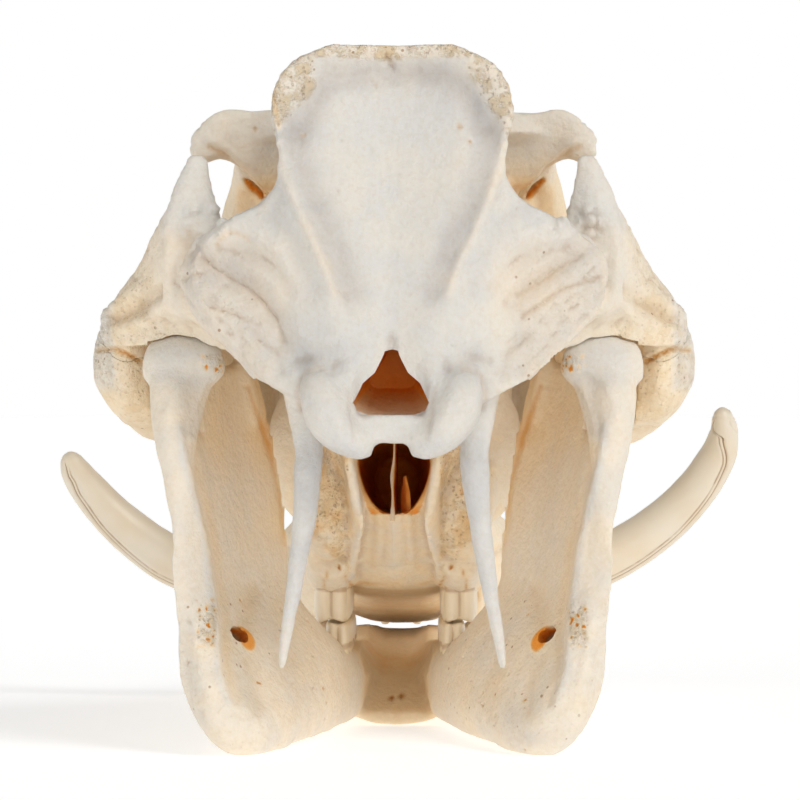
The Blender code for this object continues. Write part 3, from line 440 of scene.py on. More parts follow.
# Lines on the bone as they lie seen from behind: rise, below 0 for a groove, width, warmth, darkness,
# nearest and farthest y, side (1 right, -1 left, 0 both, None for signed x), and the line's points as x and z
# The darkness paints shade into the grooves, valleys and slits that lines follow, and is the dark of cracks
# and pores
SKULL_LINES = [
    # Muscle valleys and cracks of the occipital wings
    (-1.9, 4.6, 0, 0.16, 0, 50, -1, [(70.5, 175.5), (62.7, 167.5), (56.3, 164.5), (49.9, 160.2),
        (43.6, 155.1), (39.2, 149.1), (35.9, 140.4)]),
    (-1.1, 0.9, 0.04, 0.26, 0, 50, -1, [(66, 170), (56.3, 163.4), (49.9, 159.2), (43.6, 154), (39, 148),
        (36.6, 141)]),
    (-0.9, 0.7, 0.03, 0.25, 0, 50, -1, [(70.3, 162.6), (67, 163.8), (64.3, 164.3)]),
    (-0.8, 0.7, 0.02, 0.2, 0, 50, -1, [(60.1, 152.4), (52, 149.5), (44.6, 146.4)]),
    (1.2, 4, 0, 0, 0, 50, -1, [(64, 158), (54, 151.5), (45, 144)]),
    (-1.8, 4.2, 0, 0.14, 0, 50, 1, [(70, 179), (63.8, 174.2), (58.5, 168.2), (49.7, 160.5), (40.3, 154.1)]),
    (-1.1, 0.9, 0.04, 0.26, 0, 50, 1, [(69.9, 162.8), (62.5, 160.2), (56.8, 158.1), (50.4, 153.4),
        (44, 149.4)]),
    (-0.7, 0.9, 0.04, 0.16, 0, 50, 1, [(63, 169.3), (56, 165), (49, 160), (43, 156.5)]),
    (1.1, 3, 0, 0, 0, 50, 1, [(66, 168), (58, 162.5), (50, 157), (43, 151.5)]),
    (-0.5, 0.8, 0.12, 0.16, 0, 50, -1, [(59.3, 173.9), (54.3, 177.9), (48.3, 175.3)]),
    (1, 2, 0, 0, 0, 50, 0, [(58, 177), (54, 180.5), (47, 178.5), (40, 173)]),
    (-1.2, 3, 0, 0.1, 0, 50, 0, [(58, 171.5), (50, 172), (42, 167), (34, 158)]),
    (0.8, 1.5, 0.06, 0, 0, 60, 0, [(71.4, 171), (71.8, 165), (72, 160), (71.4, 155), (69.6, 151.2),
        (66, 147.6), (61.4, 143.4), (57.6, 138.6), (54, 134.6)]),
    (-1.1, 2.4, 0, 0.08, 0, 40, 0, [(33, 134.2), (27, 135), (19.5, 131.5)]),
    (0.9, 2.6, 0, 0, 0, 45, 0, [(37, 147), (29, 142), (22, 140.5)]),
    (-0.9, 2.2, 0, 0.12, 0, 45, 0, [(46, 143), (40, 138), (37, 131)]),
    # Ridges up the hollow of the crest, the painted shade beside and above it, its scar and its pores
    (1.6, 1.9, 0.1, 0, 10, 50, 0, [(38.8, 207), (37, 200), (33, 190), (28.2, 179), (23, 168), (19, 157)]),
    (-2.1, 5.2, -0.04, 0.19, 10, 50, 0, [(34, 214), (30.5, 200), (25, 186), (19, 172), (14, 158)]),
    (-1, 3.4, 0, 0.07, 10, 50, 0, [(43.5, 186), (36, 178), (31, 168), (27, 157)]),
    (-2.6, 4.6, -0.04, 0.22, 15, 60, 0, [(0, 232), (12, 231.4), (21, 228.8), (26.5, 222), (30, 213)]),
    (-0.7, 0.8, 0.25, 0.2, 10, 60, -1, [(40, 225.6), (39, 219.5), (38, 213)]),
    (-1.3, 0.8, 0.05, 0.4, 10, 60, None, [(-1.6, 237.8), (-0.5, 235.7), (0.4, 233.6)]),
    (-0.6, 0.6, 0.05, 0.3, 10, 60, None, [(-6.1, 229.6), (-5.1, 226.9)]),
    (-1, 0.8, 0.3, 0.8, 10, 60, None, [(-29.9, 210.6), (-29.6, 210.2)]),
    (-1, 0.8, 0.3, 0.8, 10, 60, None, [(22.8, 213.6), (23.1, 213.2)]),
    (-0.8, 0.6, 0.3, 0.8, 10, 60, None, [(26, 208.2), (26.2, 207.8)]),
    # Bevel over the foramen, and grey clouds of the bleached bone
    (-1.2, 1.6, -0.1, 0.3, 0, 45, None, [(0.2, 141.6), (0.2, 138.4)]),
    (0, 2, -0.06, 0.16, 10, 50, -1, [(25.4, 185.8), (25, 185.6)]),
    (0, 2.2, -0.06, 0.16, 10, 50, -1, [(60.3, 154.8), (59.9, 154.6)]),
    # Postorbital process: the ridge and groove under it, the slit in the wall behind and a pore
    (-0.9, 1, 0.2, 0.25, 80, 106, 0, [(65, 210.2), (59, 207.2), (52.3, 201.6), (45.9, 194.5)]),
    (0.9, 1.7, 0, 0, 80, 106, 0, [(65.5, 213), (59.5, 210), (53.2, 204.4), (46.8, 197.5)]),
    (-3.4, 0.9, 0.75, 0.7, 84, 130, 0, [(53.6, 200.6), (51, 197.8), (48.4, 195)]),
    (-0.8, 0.7, 0.3, 0.8, 80, 106, -1, [(48.8, 216.9), (48.6, 216.7)]),
    # Squamosal: the valley behind the joint, its bright ridge and the gaping end of its suture
    (-2.2, 2.6, 0.03, 0.12, 50, 100, 0, [(97, 149.6), (89.5, 152.6), (82.9, 156.8), (76, 160.5)]),
    (1, 2, 0, 0, 50, 100, 0, [(98, 145.4), (90, 147.6), (80, 151.5)]),
    (-1, 0.9, 0.35, 0.5, 60, 104, 0, [(104, 138.6), (99.6, 138.9), (96.3, 138.4), (92.8, 137),
        (88.3, 134.6)]),
    # Flutes below the choana, the crests beside it and the raised lozenge in the middle
    (0.5, 0.7, -0.08, 0, 86, 160, None, [(-0.7, 82), (-0.4, 74), (-0.6, 64)]),
    (-0.6, 1.2, 0.05, 0.12, 86, 160, 0, [(3.2, 81), (3.6, 72), (4.2, 62)]),
    (-0.6, 1.2, 0.05, 0.12, 86, 160, 0, [(7.6, 82), (7.6, 74), (8.4, 60)]),
    (0.4, 2.2, -0.08, 0, 86, 170, None, [(-0.7, 63), (-0.7, 56)]),
    (0.6, 1, -0.12, 0, 80, 160, 0, [(14.6, 98.1), (13.4, 91), (11.6, 81.8), (11.6, 76.2), (13.6, 69.8),
        (15.3, 62), (15.4, 56)]),
    # Cracks and the small foramen of the bone that holds the rear teeth
    (-1, 0.7, 0.5, 0.9, 110, 150, 0, [(20.6, 61), (20.3, 60.5)]),
    (-0.4, 0.5, 0.25, 0.35, 110, 150, 0, [(24, 60), (25.6, 55), (26.5, 49.4)]),
    (-0.4, 0.5, 0.25, 0.35, 110, 150, 0, [(18.4, 57), (16.2, 53)]),
    # Crevices beside the condyles
    (-0.9, 1, 0.05, 0.22, 0, 40, 0, [(30.6, 118), (31.4, 124), (29.6, 130), (24, 132)]),
    (-0.5, 0.8, 0.02, 0.14, 0, 30, 0, [(14.4, 125), (13.2, 117), (12, 108)]),
]
# Lines of the lower jaw in the same columns; their darkness too is painted shade in grooves and hollows, and
# the dark of small holes
JAW_LINES = [
    # Soft ridge and groove along the inner edge of the rear border
    (1, 1.5, -0.1, 0, 30, 64, 0, [(72.6, 112), (71.6, 104.1), (69.6, 94.6), (66.9, 82.6), (64.6, 70.7),
        (63.2, 60), (61.2, 48), (60, 33.1), (58.4, 25.9), (56, 18.8)]),
    (-1.1, 1.7, 0.12, 0.12, 30, 80, 0, [(69, 106), (67, 94.6), (64, 82.6), (61.6, 70.7), (60.4, 60),
        (58.2, 48), (57.2, 33.1), (55.6, 25.9), (53, 18.8)]),
    # Hollow under the joint knob, and the ridge that frames it
    (-2.6, 4.6, -0.05, 0.14, 36, 70, 0, [(68, 127), (67.6, 121), (68.8, 112)]),
    (0.7, 1.6, 0, 0, 36, 70, 0, [(77, 116), (74.5, 124), (69, 130), (61.5, 132)]),
    # Depression over the canal and the shallow folds of the body
    (-1.1, 3.2, 0.1, 0.1, 40, 90, 0, [(52, 43), (51, 49), (49.5, 55)]),
    (-0.8, 2.2, 0.06, 0.1, 40, 120, 0, [(50, 32), (47, 24), (46, 15)]),
    (-0.6, 2.6, 0.04, 0.08, 50, 150, 0, [(36, 30), (33, 20), (34, 12)]),
    (-1.6, 0.9, 0.3, 1, 150, 215, None, [(-1.9, 9.1), (-1.7, 9.2)]),
    (-1.6, 0.9, 0.3, 1, 150, 215, None, [(1.8, 9.8), (2, 9.9)]),
    (-0.6, 0.9, 0.16, 0.14, 90, 130, 0, [(52, 126), (46.6, 110), (42.6, 94), (40.4, 80), (39, 70)]),
]

# Tusks: centre line and radius; the right upper tusk stands higher than the left one
UPPER_TUSK_RIGHT = [
    (34, 283, 45, 8),
    (50, 289, 47, 9.6),
    (68, 294, 51, 10.2),
    (87, 298, 58, 10),
    (105, 300, 69.5, 9.3),
    (119, 300, 83, 8.5),
    (128.3, 298, 97, 7.6),
    (131.2, 295.4, 107, 6.4),
    (130.5, 293.4, 113.6, 4.7),
    (130, 292.6, 115.9, 3.4),
    (129.7, 292.2, 117.1, 2),
    (129.5, 292, 117.7, 0.5),
]
UPPER_TUSK_LEFT = [
    (34, 283, 45, 8),
    (50, 289, 46, 9.6),
    (70, 294, 48.5, 10.2),
    (91, 298, 55, 10),
    (106, 300, 64.5, 9.3),
    (118, 300, 75, 8.4),
    (127, 298, 85.5, 7.3),
    (131.2, 296.2, 91.8, 6.2),
    (133.2, 295.2, 96.2, 4.7),
    (134, 294.8, 98.2, 3.4),
    (134.4, 294.6, 99.3, 2),
    (134.6, 294.5, 99.8, 0.5),
]
LOWER_TUSK = [
    (27, 283, 20.5, 5.5),
    (41, 297, 23, 6.3),
    (54, 306, 29, 6.4),
    (66, 311, 38, 6),
    (74, 312.5, 48.5, 4.8),
    (78, 312, 58, 2.2),
]

# Tusks: points round them, steps between rows, how flat they are, the grooves' angles from below towards the
# back with their widths and shares of the depth, and the radii between which the grooves fade in
TUSK_SIDES = 96
TUSK_STEPS = 14
TUSK_FLATNESS = 0.93
TUSK_GROOVES = ((34.0, 4.5, 1.0), (50.0, 3.5, 0.5), (-70.0, 6.0, 0.6))
GROOVE_FADE = (3.2, 6.2)

# Soft limits of places on the bone: an axis, where the place starts and where it is full;
# x counts from the middle
REAR_FACE = ((Y, 46, 38), (Z, 118, 130))
REAR_MIDDLE = ((X, 34, 22),)
WING_SCARS = ((X, 34, 46), (Z, 178, 170))
CHEEK_SCARS = ((Y, 44, 52), (Y, 110, 100), (X, 58, 70), (Z, 136, 142))
CHEEK_REAR = ((Y, 104, 88), (Z, 122, 127))
FRONTAL_KNOB = ((X, 60, 66), (Y, 104, 98), (Y, 78, 84), (Z, 204, 206))
SPIKE_FOOT = ((X, 52, 55), (X, 73, 70), (Z, 175, 178), (Z, 189, 186), (Y, 56, 50))
WINGS = ((X, 28, 38), (Z, 185, 172))
# Wings that are worn and porous, and also darkened by painted shade
WORN_AND_SHADED_WINGS = ((X, 36, 46), (Z, 178, 168), (Y, 44, 40))
FRONTAL_EDGE = ((Z, 200, 210), (Y, 70, 84), (Y, 112, 104))
JUGAL = ((Z, 147, 138), (Y, 66, 80), (X, 60, 76))
TEMPORAL_WALLS = ((X, 64, 56), (Y, 52, 64), (Z, 208, 196))
PALATINE_POCKET = ((Y, 112, 122), (Z, 142, 128), (X, 28, 36), (X, 62, 54))
FOSSA_END = ((Z, 112, 104), (Y, 152, 138), (X, 37, 31))
CHOANA_DEPTH = ((Y, 91, 96), (Z, 79.0, 81.0), (Z, 110, 108), (Y, 190, 184))
# Half width of the choana by height
CHOANA_HEIGHTS = (77.0, 80.0, 83.0, 89.0, 93.6, 98.2, 102.0)
CHOANA_HALF_WIDTHS = (6.5, 8.6, 10.4, 12.4, 13.8, 14.6, 15.2)
BRAIN_CAVITY = ((X, 18, 17), (Y, 16, 22), (Y, 52, 50), (Z, 114.0, 115.2), (Z, 146, 143))
ARCH_SIDE = ((X, 70, 78), (Y, 48, 58), (Y, 112, 100))
JAW_LOW = ((Z, 92, 70), (Z, 3, 8))
JAW_BEHIND_CHIN = ((Y, 165, 140),)
JAW_NECK = ((Z, 66, 74), (Z, 104, 96), (Y, 62, 54))
JAW_INNER_BODY = ((Z, 66, 50), (Y, 46, 54), (Y, 175, 150))
JAW_BORDER_FOOT = ((Z, 62, 50), (Y, 60, 50))
BORDER_STAIN = ((X, 60, 61.5), (X, 67.5, 65.5), (Z, 36, 39), (Z, 52, 49), (Y, 60, 52))
KNOB_STAIN = ((X, 57, 59), (X, 67, 64), (Z, 130, 131.5), (Z, 138, 136), (Y, 62, 56))
JAW_UPPER_INNER = ((Z, 88, 112), (Y, 60, 76))
JAW_FRONT_INNER = ((Y, 84, 112), (Z, 60, 76))
CHIN_MIDDLE = ((Y, 138, 164), (X, 26, 14))
JOINT_TOP = ((Z, 122, 130), (Y, 80, 70))
CANAL_MOUTH = (54, 66, 36.5)
JAW_WORN = ((Z, 66, 50), (Y, 150, 130))

# Pits and nodules: size of their cells, share of the cells that hold one, size in cells, and seed
CREST_PITS = (2.6, 0.75, 0.5, 6)
RIM_PITS = (2.8, 0.9, 0.6, 8)
FRONTAL_PITS = (2.6, 0.7, 0.55, 9)
VESSEL_PITS = (5.0, 0.10, 0.22, 10)
FOOT_NODULES = (4.6, 0.8, 0.6, 11)
BORDER_PITS = (2.4, 0.8, 0.5, 15)
BODY_PITS = (5.5, 0.34, 0.2, 16)

# Factors that scatter the noise over the cells of a grid
CELL_FACTORS = (73856093, 19349663, 83492791)
SEED_FACTOR = 92837111
STIR_FACTOR = 1274126177

# Soft light: the sky's brightness along an axis, by where it starts and ends to change; each lamp has a name,
# azimuth to the right of the camera, height, softness and strength
SKY = (("Y", -0.2, 0.6, 0.5, 1.0), ("Z", 0.22, 0.55, 1.0, 0.3))
SUNS = (
    ("key", 46.0, 45.0, 24.0, 1.1),
    ("low_key", 34.0, 7.0, 52.0, 0.66),
    ("side_fill", -40.0, 12.0, 44.0, 0.62),
)
FLOOR_GLOW = 0.54
FLOOR_WIDTH = 40.0
FLOOR_DROP = 0.0003
# Camera: its place in millimetres, its turn to the left, and in the photo's own pixels its width,
# focal length and shift upwards
CAMERA_PLACE = (16.0, -1300.0, 122.9)
CAMERA_TURN = 0.57
PHOTO_WIDTH = 800
FOCAL_PIXELS = 3939
SHIFT_PIXELS = -5
SENSOR_WIDTH = 36.0


def place(points):
    """Metres in the frame's axes, from millimetres in the skull's own."""
    return (np.asarray(points, dtype=float) - (0.0, 0.5 * SKULL_LENGTH, 0.0)) * MILLIMETRE


def sizes():
    """Sizes that a user may change."""
    return bpy.context.scene.skull_sizes


def colours():
    """Colours that a user may change."""
    return bpy.context.scene.skull_colours


# Modelling

def clear_selection():
    """Selects nothing, in object mode."""
    if bpy.context.mode != "OBJECT":
        bpy.ops.object.mode_set(mode="OBJECT")
    bpy.ops.object.select_all(action="DESELECT")


def pick(items):
    """Selects these objects and nothing else, the first one active."""
    clear_selection()
    for item in items:
        item.hide_viewport = False
        item.select_set(True)
    bpy.context.view_layer.objects.active = items[0]


def mesh_points(item):
    """A piece's points as they are stored, in metres."""
    flat = np.empty(3 * len(item.data.vertices))
    item.data.vertices.foreach_get("co", flat)
    return flat.reshape(-1, 3)


def set_points(item, points):
    """Moves a piece's points to other places, in metres."""
    item.data.vertices.foreach_set("co", np.asarray(points, dtype=float).ravel())
    item.data.update()


def curve_rows(rows, steps):
    """A smooth curve through rows of numbers, with so many steps between two rows."""
    rows = np.array(rows, dtype=float)
    padded = np.vstack([2 * rows[0] - rows[1], rows, 2 * rows[-1] - rows[-2]])
    found = []
    for i in range(1, len(padded) - 2):
        before, start, end, after = padded[i - 1:i + 3]
        for t in np.arange(steps) / steps:
            bend = (2 * before - 5 * start + 4 * end - after) * t * t
            twist = (3 * start - before - 3 * end + after) * t ** 3
            found.append(0.5 * (2 * start + (end - before) * t + bend + twist))
    found.append(rows[-1])
    return np.array(found)


def sweep(name, rings):
    """A closed form: a filled circle extruded once for each ring, then laid on the rings."""
    rings = np.array(rings, dtype=float)
    sides = rings.shape[1]
    clear_selection()
    bpy.ops.mesh.primitive_circle_add(vertices=sides, radius=1.0, fill_type="NGON")
    item = bpy.context.object
    item.name = name
    bpy.ops.object.mode_set(mode="EDIT")
    bpy.ops.mesh.select_all(action="SELECT")
    for _ in rings[1:]:
        bpy.ops.mesh.extrude_region_move(TRANSFORM_OT_translate={"value": (0.0, 0.0, 1.0)})
    bpy.ops.object.mode_set(mode="OBJECT")
    points = mesh_points(item)
    turn = np.arctan2(points[:, Y], points[:, X]) / (2 * math.pi) * sides
    row = np.rint(points[:, Z]).astype(int)
    set_points(item, place(rings[row, np.rint(turn).astype(int) % sides]))
    bpy.ops.object.mode_set(mode="EDIT")
    bpy.ops.mesh.select_all(action="SELECT")
    bpy.ops.mesh.normals_make_consistent(inside=False)
    bpy.ops.object.mode_set(mode="OBJECT")
    return item


def loft(name, rows, power=2.6):
    """A form along y; each row is y, low, high and three half widths from low to high."""
    angle = 2 * math.pi * np.arange(LOFT_SIDES) / LOFT_SIDES
    up = np.copysign(np.abs(np.sin(angle)) ** (2 / power), np.sin(angle))
    out = np.copysign(np.abs(np.cos(angle)) ** (2 / power), np.cos(angle))
    rings = []
    for y, low, high, wide_low, wide_mid, wide_high in curve_rows(rows, LOFT_STEPS):
        bulge = 0.5 * (wide_high + wide_low) - wide_mid
        wide = wide_mid + 0.5 * (wide_high - wide_low) * up + bulge * up * up
        height = 0.5 * (low + high) + 0.5 * (high - low) * up
        rings.append(np.stack([wide * out, np.full(LOFT_SIDES, y), height], axis=1))
    return sweep(name, rings)


def limb_rings(rows, sides, steps, lean):
    """Rings round a smooth path; rows are x, y, z and one or two radii, the first along lean."""
    rows = [tuple(row) if len(row) == 5 else tuple(row) + (row[3],) for row in rows]
    path = curve_rows(rows, steps)
    lean = Vector(lean)
    rings = []
    for i, row in enumerate(path):
        ahead = Vector(path[min(i + 1, len(path) - 1)][:3]) - Vector(path[max(i - 1, 0)][:3])
        ahead.normalize()
        first = (lean - ahead * lean.dot(ahead)).normalized()
        second = ahead.cross(first)
        angle = 2 * math.pi * np.arange(sides)[:, None] / sides
        reach = np.cos(angle) * row[3] * np.array(first) + np.sin(angle) * row[4] * np.array(second)
        rings.append(row[:3] + reach)
    return rings


def limb(name, rows, lean=UPWARD, sides=18, steps=5):
    """A closed limb along a smooth path."""
    return sweep(name, limb_rings(rows, sides, steps, lean))


def plate(name, rows, across=3):
    """A curved plate through rows of points, each point with the plate's thickness there."""
    path = curve_rows([np.ravel(row) for row in rows], PLATE_STEPS)
    cells = np.array([curve_rows(row.reshape(-1, 4), across) for row in path])
    grid = cells[:, :, :3]
    normal = np.cross(np.gradient(grid, axis=0), np.gradient(grid, axis=1))
    normal /= np.linalg.norm(normal, axis=2, keepdims=True)
    offset = 0.5 * normal * cells[:, :, 3, None]
    return sweep(name, np.concatenate([grid + offset, (grid - offset)[:, ::-1]], axis=1))


def lump(name, centre, radii):
    """A rounded lump with three radii."""
    clear_selection()
    bpy.ops.mesh.primitive_uv_sphere_add(segments=24, ring_count=12, radius=1.0)
    item = bpy.context.object
    item.name = name
    set_points(item, place(mesh_points(item) * radii + centre))
    return item


def prism(name, half_outline, stations):
    """A cutter with a mirrored outline across x, scaled about its middle at each y."""
    outline = np.array(half_outline + [(-x, z) for x, z in half_outline[-2:0:-1]])
    middle = 0.5 * (outline[:, 1].max() + outline[:, 1].min())
    rings = []
    for y, size, rise in stations:
        high = middle + (outline[:, 1] - middle) * size + rise
        rings.append(np.stack([outline[:, 0] * size, np.full(len(outline), y), high], axis=1))
    return sweep(name, rings)


def box(name, low, high):
    """A box between two corners."""
    clear_selection()
    low, high = place(low), place(high)
    bpy.ops.mesh.primitive_cube_add(size=1.0)
    item = bpy.context.object
    item.name = name
    set_points(item, 0.5 * (low + high) + mesh_points(item) * (high - low))
    return item


def built(forms):
    """The closed forms that a table lists, in its order."""
    makers = {"plate": plate, "limb": limb, "lump": lump, "loft": loft}
    return [makers[kind](name, *values) for kind, name, *values in forms]


def join(name, items):
    """One piece made of several."""
    pick(items)
    if len(items) > 1:
        bpy.ops.object.join()
    item = bpy.context.object
    item.name = name
    item.data.name = name
    return item


def apply_all(item):
    """Applies a piece's modifiers."""
    pick([item])
    for change in list(item.modifiers):
        bpy.ops.object.modifier_apply(modifier=change.name)


def both_sides(item):
    """Adds the other side of the skull to a piece of the right side."""
    mirror = item.modifiers.new("other side", "MIRROR")
    mirror.use_axis[0] = True
    mirror.use_mirror_merge = False
    apply_all(item)
    return item


def soften(item, grid=None, rounds=None):
    """Remakes a surface on an even grid and rounds its edges."""
    remesh = item.modifiers.new("even surface", "REMESH")
    remesh.mode = "VOXEL"
    remesh.voxel_size = grid or sizes().surface_grid
    smooth = item.modifiers.new("rounding", "SMOOTH")
    smooth.factor = 0.5
    smooth.iterations = rounds or sizes().rounding_rounds
    apply_all(item)


def combine(item, others, operation):
    """Adds closed pieces to a piece or cuts them out of it, then removes them."""
    group = bpy.data.collections.new("operands")
    for other in others:
        group.objects.link(other)
    change = item.modifiers.new("combine", "BOOLEAN")
    change.operation = operation
    change.operand_type = "COLLECTION"
    change.collection = group
    change.solver = "MANIFOLD"
    apply_all(item)
    for other in others:
        bpy.data.objects.remove(other, do_unlink=True)
    bpy.data.collections.remove(group)


def keep_largest(item):
    """Keeps the largest closed surface of a piece."""
    count = len(item.data.vertices)
    edges = np.empty(2 * len(item.data.edges), dtype=np.int64)
    item.data.edges.foreach_get("vertices", edges)
    start, end = edges.reshape(-1, 2).T
    label = np.arange(count)
    while True:
        lowest = label.copy()
        np.minimum.at(lowest, start, label[end])
        np.minimum.at(lowest, end, label[start])
        lowest = lowest[lowest]
        if np.array_equal(lowest, label):
            break
        label = lowest
    labels, counts = np.unique(label, return_counts=True)
    if len(labels) == 1:
        return
    largest = labels[np.argmax(counts)]
    shape = bmesh.new()
    shape.from_mesh(item.data)
    shape.verts.ensure_lookup_table()
    scraps = [shape.verts[i] for i in np.flatnonzero(label != largest)]
    bmesh.ops.delete(shape, geom=scraps, context="VERTS")
    shape.to_mesh(item.data)
    shape.free()


# Shapes of the upper skull

def occipital_plate():
    """The shield at the back of the skull: raised rims, two ridges and a hollow middle."""
    rings = []
    for height, half, ridge, edge_y, ridge_y, middle_y in curve_rows(PLATE, 4):
        wing_y = 0.35 * ridge_y + 0.65 * edge_y + 0.02 * (half - ridge)
        profile = [(0.0, middle_y), (ridge, ridge_y), (0.5 * (ridge + half), wing_y), (half, edge_y)]
        profile = [(-x, y) for x, y in profile[:0:-1]] + profile
        rear = [(x, y, height) for x, y in curve_rows(profile, 4)]
        front = [(0.98 * x, y + PLATE_THICKNESS, height) for x, y, height in rear]
        rings.append(rear + front[::-1])
    return sweep("plate", rings)


def frontal_roof():
    """The dished roof between the eye sockets, thicker in its middle."""
    rows = []
    for y, half, rim, middle in FRONTAL:
        edge = (y, rim - 0.5 * FRONTAL_RIM, FRONTAL_RIM)
        inner = (y, 0.6 * rim + 0.4 * middle - 0.5 * FRONTAL_RIM, FRONTAL_RIM + 2)
        centre = (0.0, y, middle - 0.5 * FRONTAL_MIDDLE, FRONTAL_MIDDLE)
        side = 0.55 * half
        rows.append([(-half,) + edge, (-side,) + inner, centre, (side,) + inner, (half,) + edge])
    return plate("frontals", rows)


def upper_skull():
    """The whole upper skull in one closed surface, with its openings."""
    side = both_sides(join("side", built(SKULL_SIDE)))
    base = limb("basioccipital", BASIOCCIPITAL)
    core = [occipital_plate(), loft("braincase_core", BRAINCASE, 2.5), loft("snout_core", SNOUT, 3.4)]
    core += [frontal_roof(), base]
    body = join("upper_skull", core + [side])
    soften(body)
    hollows = built(MIDDLE_HOLLOWS) + [both_sides(item) for item in built(SIDE_HOLLOWS)]
    combine(body, hollows, "DIFFERENCE")
    soften(body, rounds=3)
    keep_largest(body)
    spine = limb("ear_spine", EAR_SPINE, FORWARD, sides=24, steps=14)
    point = limb("wing_point", WING_POINT, FORWARD, sides=20)
    combine(body, [both_sides(spine), both_sides(point)], "UNION")
    combine(body, built(THIN_BONES), "UNION")
    socket_rows = [(x, y, z, wide + SOCKET_SPARE, deep + SOCKET_SPARE) for x, y, z, wide, deep in JOINT_KNOB]
    foramen = prism("foramen_magnum", FORAMEN, FORAMEN_STATIONS)
    combine(body, [foramen, both_sides(limb("joint_socket", socket_rows))], "DIFFERENCE")
    return body


# Cuts between bones

def suture_y(height):
    """How far forward the suture between braincase and snout lies at a height."""
    return SUTURE_FOOT[0] + SUTURE_LEAN * (height - SUTURE_FOOT[1])


def snout_region(inset):
    """All that lies ahead of the suture, less an inset."""
    low, high = SNOUT_HEIGHTS
    outline = [(suture_y(low) + inset, low), (SNOUT_FRONT, low), (SNOUT_FRONT, high)]
    outline.append((suture_y(high) + inset, high))
    return sweep("snout_region", [[(x, y, z) for y, z in outline] for x in (-SNOUT_SIDE, SNOUT_SIDE)])


def cheek_region(inset):
    """The cheek bone's part of the arch, outside a slanting plane, below and ahead of two sutures."""
    rear_y = CHEEK_BACK + inset
    top_rear = CHEEK_TOP[1] + CHEEK_RISE * (rear_y - CHEEK_TOP[0]) - inset
    front_floor = suture_y(CHEEK_FLOOR) - inset
    front_top = suture_y(0.0) - inset + SUTURE_LEAN * (CHEEK_TOP[1] - CHEEK_RISE * CHEEK_TOP[0] - inset)
    front_top /= 1 - SUTURE_LEAN * CHEEK_RISE
    top_front = CHEEK_TOP[1] + CHEEK_RISE * (front_top - CHEEK_TOP[0]) - inset
    outline = [(rear_y, CHEEK_FLOOR), (rear_y, top_rear), (front_top, top_front), (front_floor, CHEEK_FLOOR)]
    dips = (0.0, CHEEK_DIP * (CHEEK_SHOULDER - CHEEK_INNER), 0.0, 0.0)
    inner = []
    for (y, z), dip in zip(outline, dips):
        inner.append((CHEEK_INNER - CHEEK_SLANT * (y - CHEEK_BACK) + inset, y, z - dip))
    outer = [(CHEEK_OUTER, y, z) for y, z in outline]
    return sweep("cheek_region", [inner, outer])


def copy_of(item, name):
    """A second piece of the same shape."""
    pick([item])
    bpy.ops.object.duplicate()
    twin = bpy.context.object
    twin.name = name
    twin.data.name = name
    return twin


def flipped(item):
    """Turns a piece of the right side into one of the left."""
    set_points(item, mesh_points(item) * (-1, 1, 1))
    pick([item])
    bpy.ops.object.mode_set(mode="EDIT")
    bpy.ops.mesh.select_all(action="SELECT")
    bpy.ops.mesh.flip_normals()
    bpy.ops.object.mode_set(mode="OBJECT")
    return item


# Finishes

class Nodes:
    """Short calls for a material's nodes."""

    def __init__(self, name):
        self.material = bpy.data.materials.new(name)
        self.material.use_nodes = True
        self.tree = self.material.node_tree
        self.shader = self.tree.nodes["Principled BSDF"]

    def add(self, kind, settings=None, **inputs):
        """A node with its settings; inputs go by their name, or by s and their number."""
        node = self.tree.nodes.new(kind)
        for key, value in (settings or {}).items():
            setattr(node, key, value)
        for key, value in inputs.items():
            socket = node.inputs[int(key[1:])] if key[1:].isdigit() else node.inputs[key.replace("_", " ")]
            self.put(socket, value)
        return node

    def put(self, socket, value):
        """Links an output to an input, or gives the input a value."""
        if isinstance(value, bpy.types.NodeSocket):
            self.tree.links.new(value, socket)
        elif isinstance(value, (tuple, list)) and len(value) == 3 and socket.type == "RGBA":
            socket.default_value = (*value, 1.0)
        else:
            socket.default_value = value

    def math(self, operation, a, b, clamp=False):
        node = self.add("ShaderNodeMath", {"operation": operation, "use_clamp": clamp}, s0=a, s1=b)
        return node.outputs[0]

    def mix(self, factor, a, b, blend="MIX"):
        node = self.add("ShaderNodeMix", {"data_type": "RGBA", "blend_type": blend}, s0=factor, s6=a, s7=b)
        return node.outputs[2]

    def ramp(self, value, low, high, to_low=0.0, to_high=1.0):
        """A soft step between two values."""
        node = self.add("ShaderNodeMapRange", {"interpolation_type": "SMOOTHSTEP"},
                        s0=value, s1=low, s2=high, s3=to_low, s4=to_high)
        return node.outputs[0]

    def coords(self, scale=(1, 1, 1)):
        where = self.add("ShaderNodeTexCoord").outputs["Object"]
        return self.add("ShaderNodeMapping", None, Vector=where, Scale=scale).outputs[0]

    def noise(self, scale, detail=4.0, rough=0.55, stretch=(1, 1, 1)):
        node = self.add("ShaderNodeTexNoise", None, Vector=self.coords(stretch), Scale=scale, Detail=detail,
                        Roughness=rough)
        return node.outputs[0]

    def cells(self, scale):
        return self.add("ShaderNodeTexVoronoi", None, Vector=self.coords(), Scale=scale).outputs[0]

    def mark(self, name):
        """The three values that a piece keeps with its points under that name."""
        node = self.add("ShaderNodeAttribute", {"attribute_name": name})
        parts = self.add("ShaderNodeSeparateColor", None, Color=node.outputs["Color"])
        return parts.outputs[0], parts.outputs[1], parts.outputs[2]

    def bump(self, height, strength, distance, below=None):
        """Small relief, over another one below it."""
        node = self.add("ShaderNodeBump", None, Strength=strength, Distance=distance, Height=height)
        if below is not None:
            self.tree.links.new(below, node.inputs["Normal"])
        return node.outputs[0]


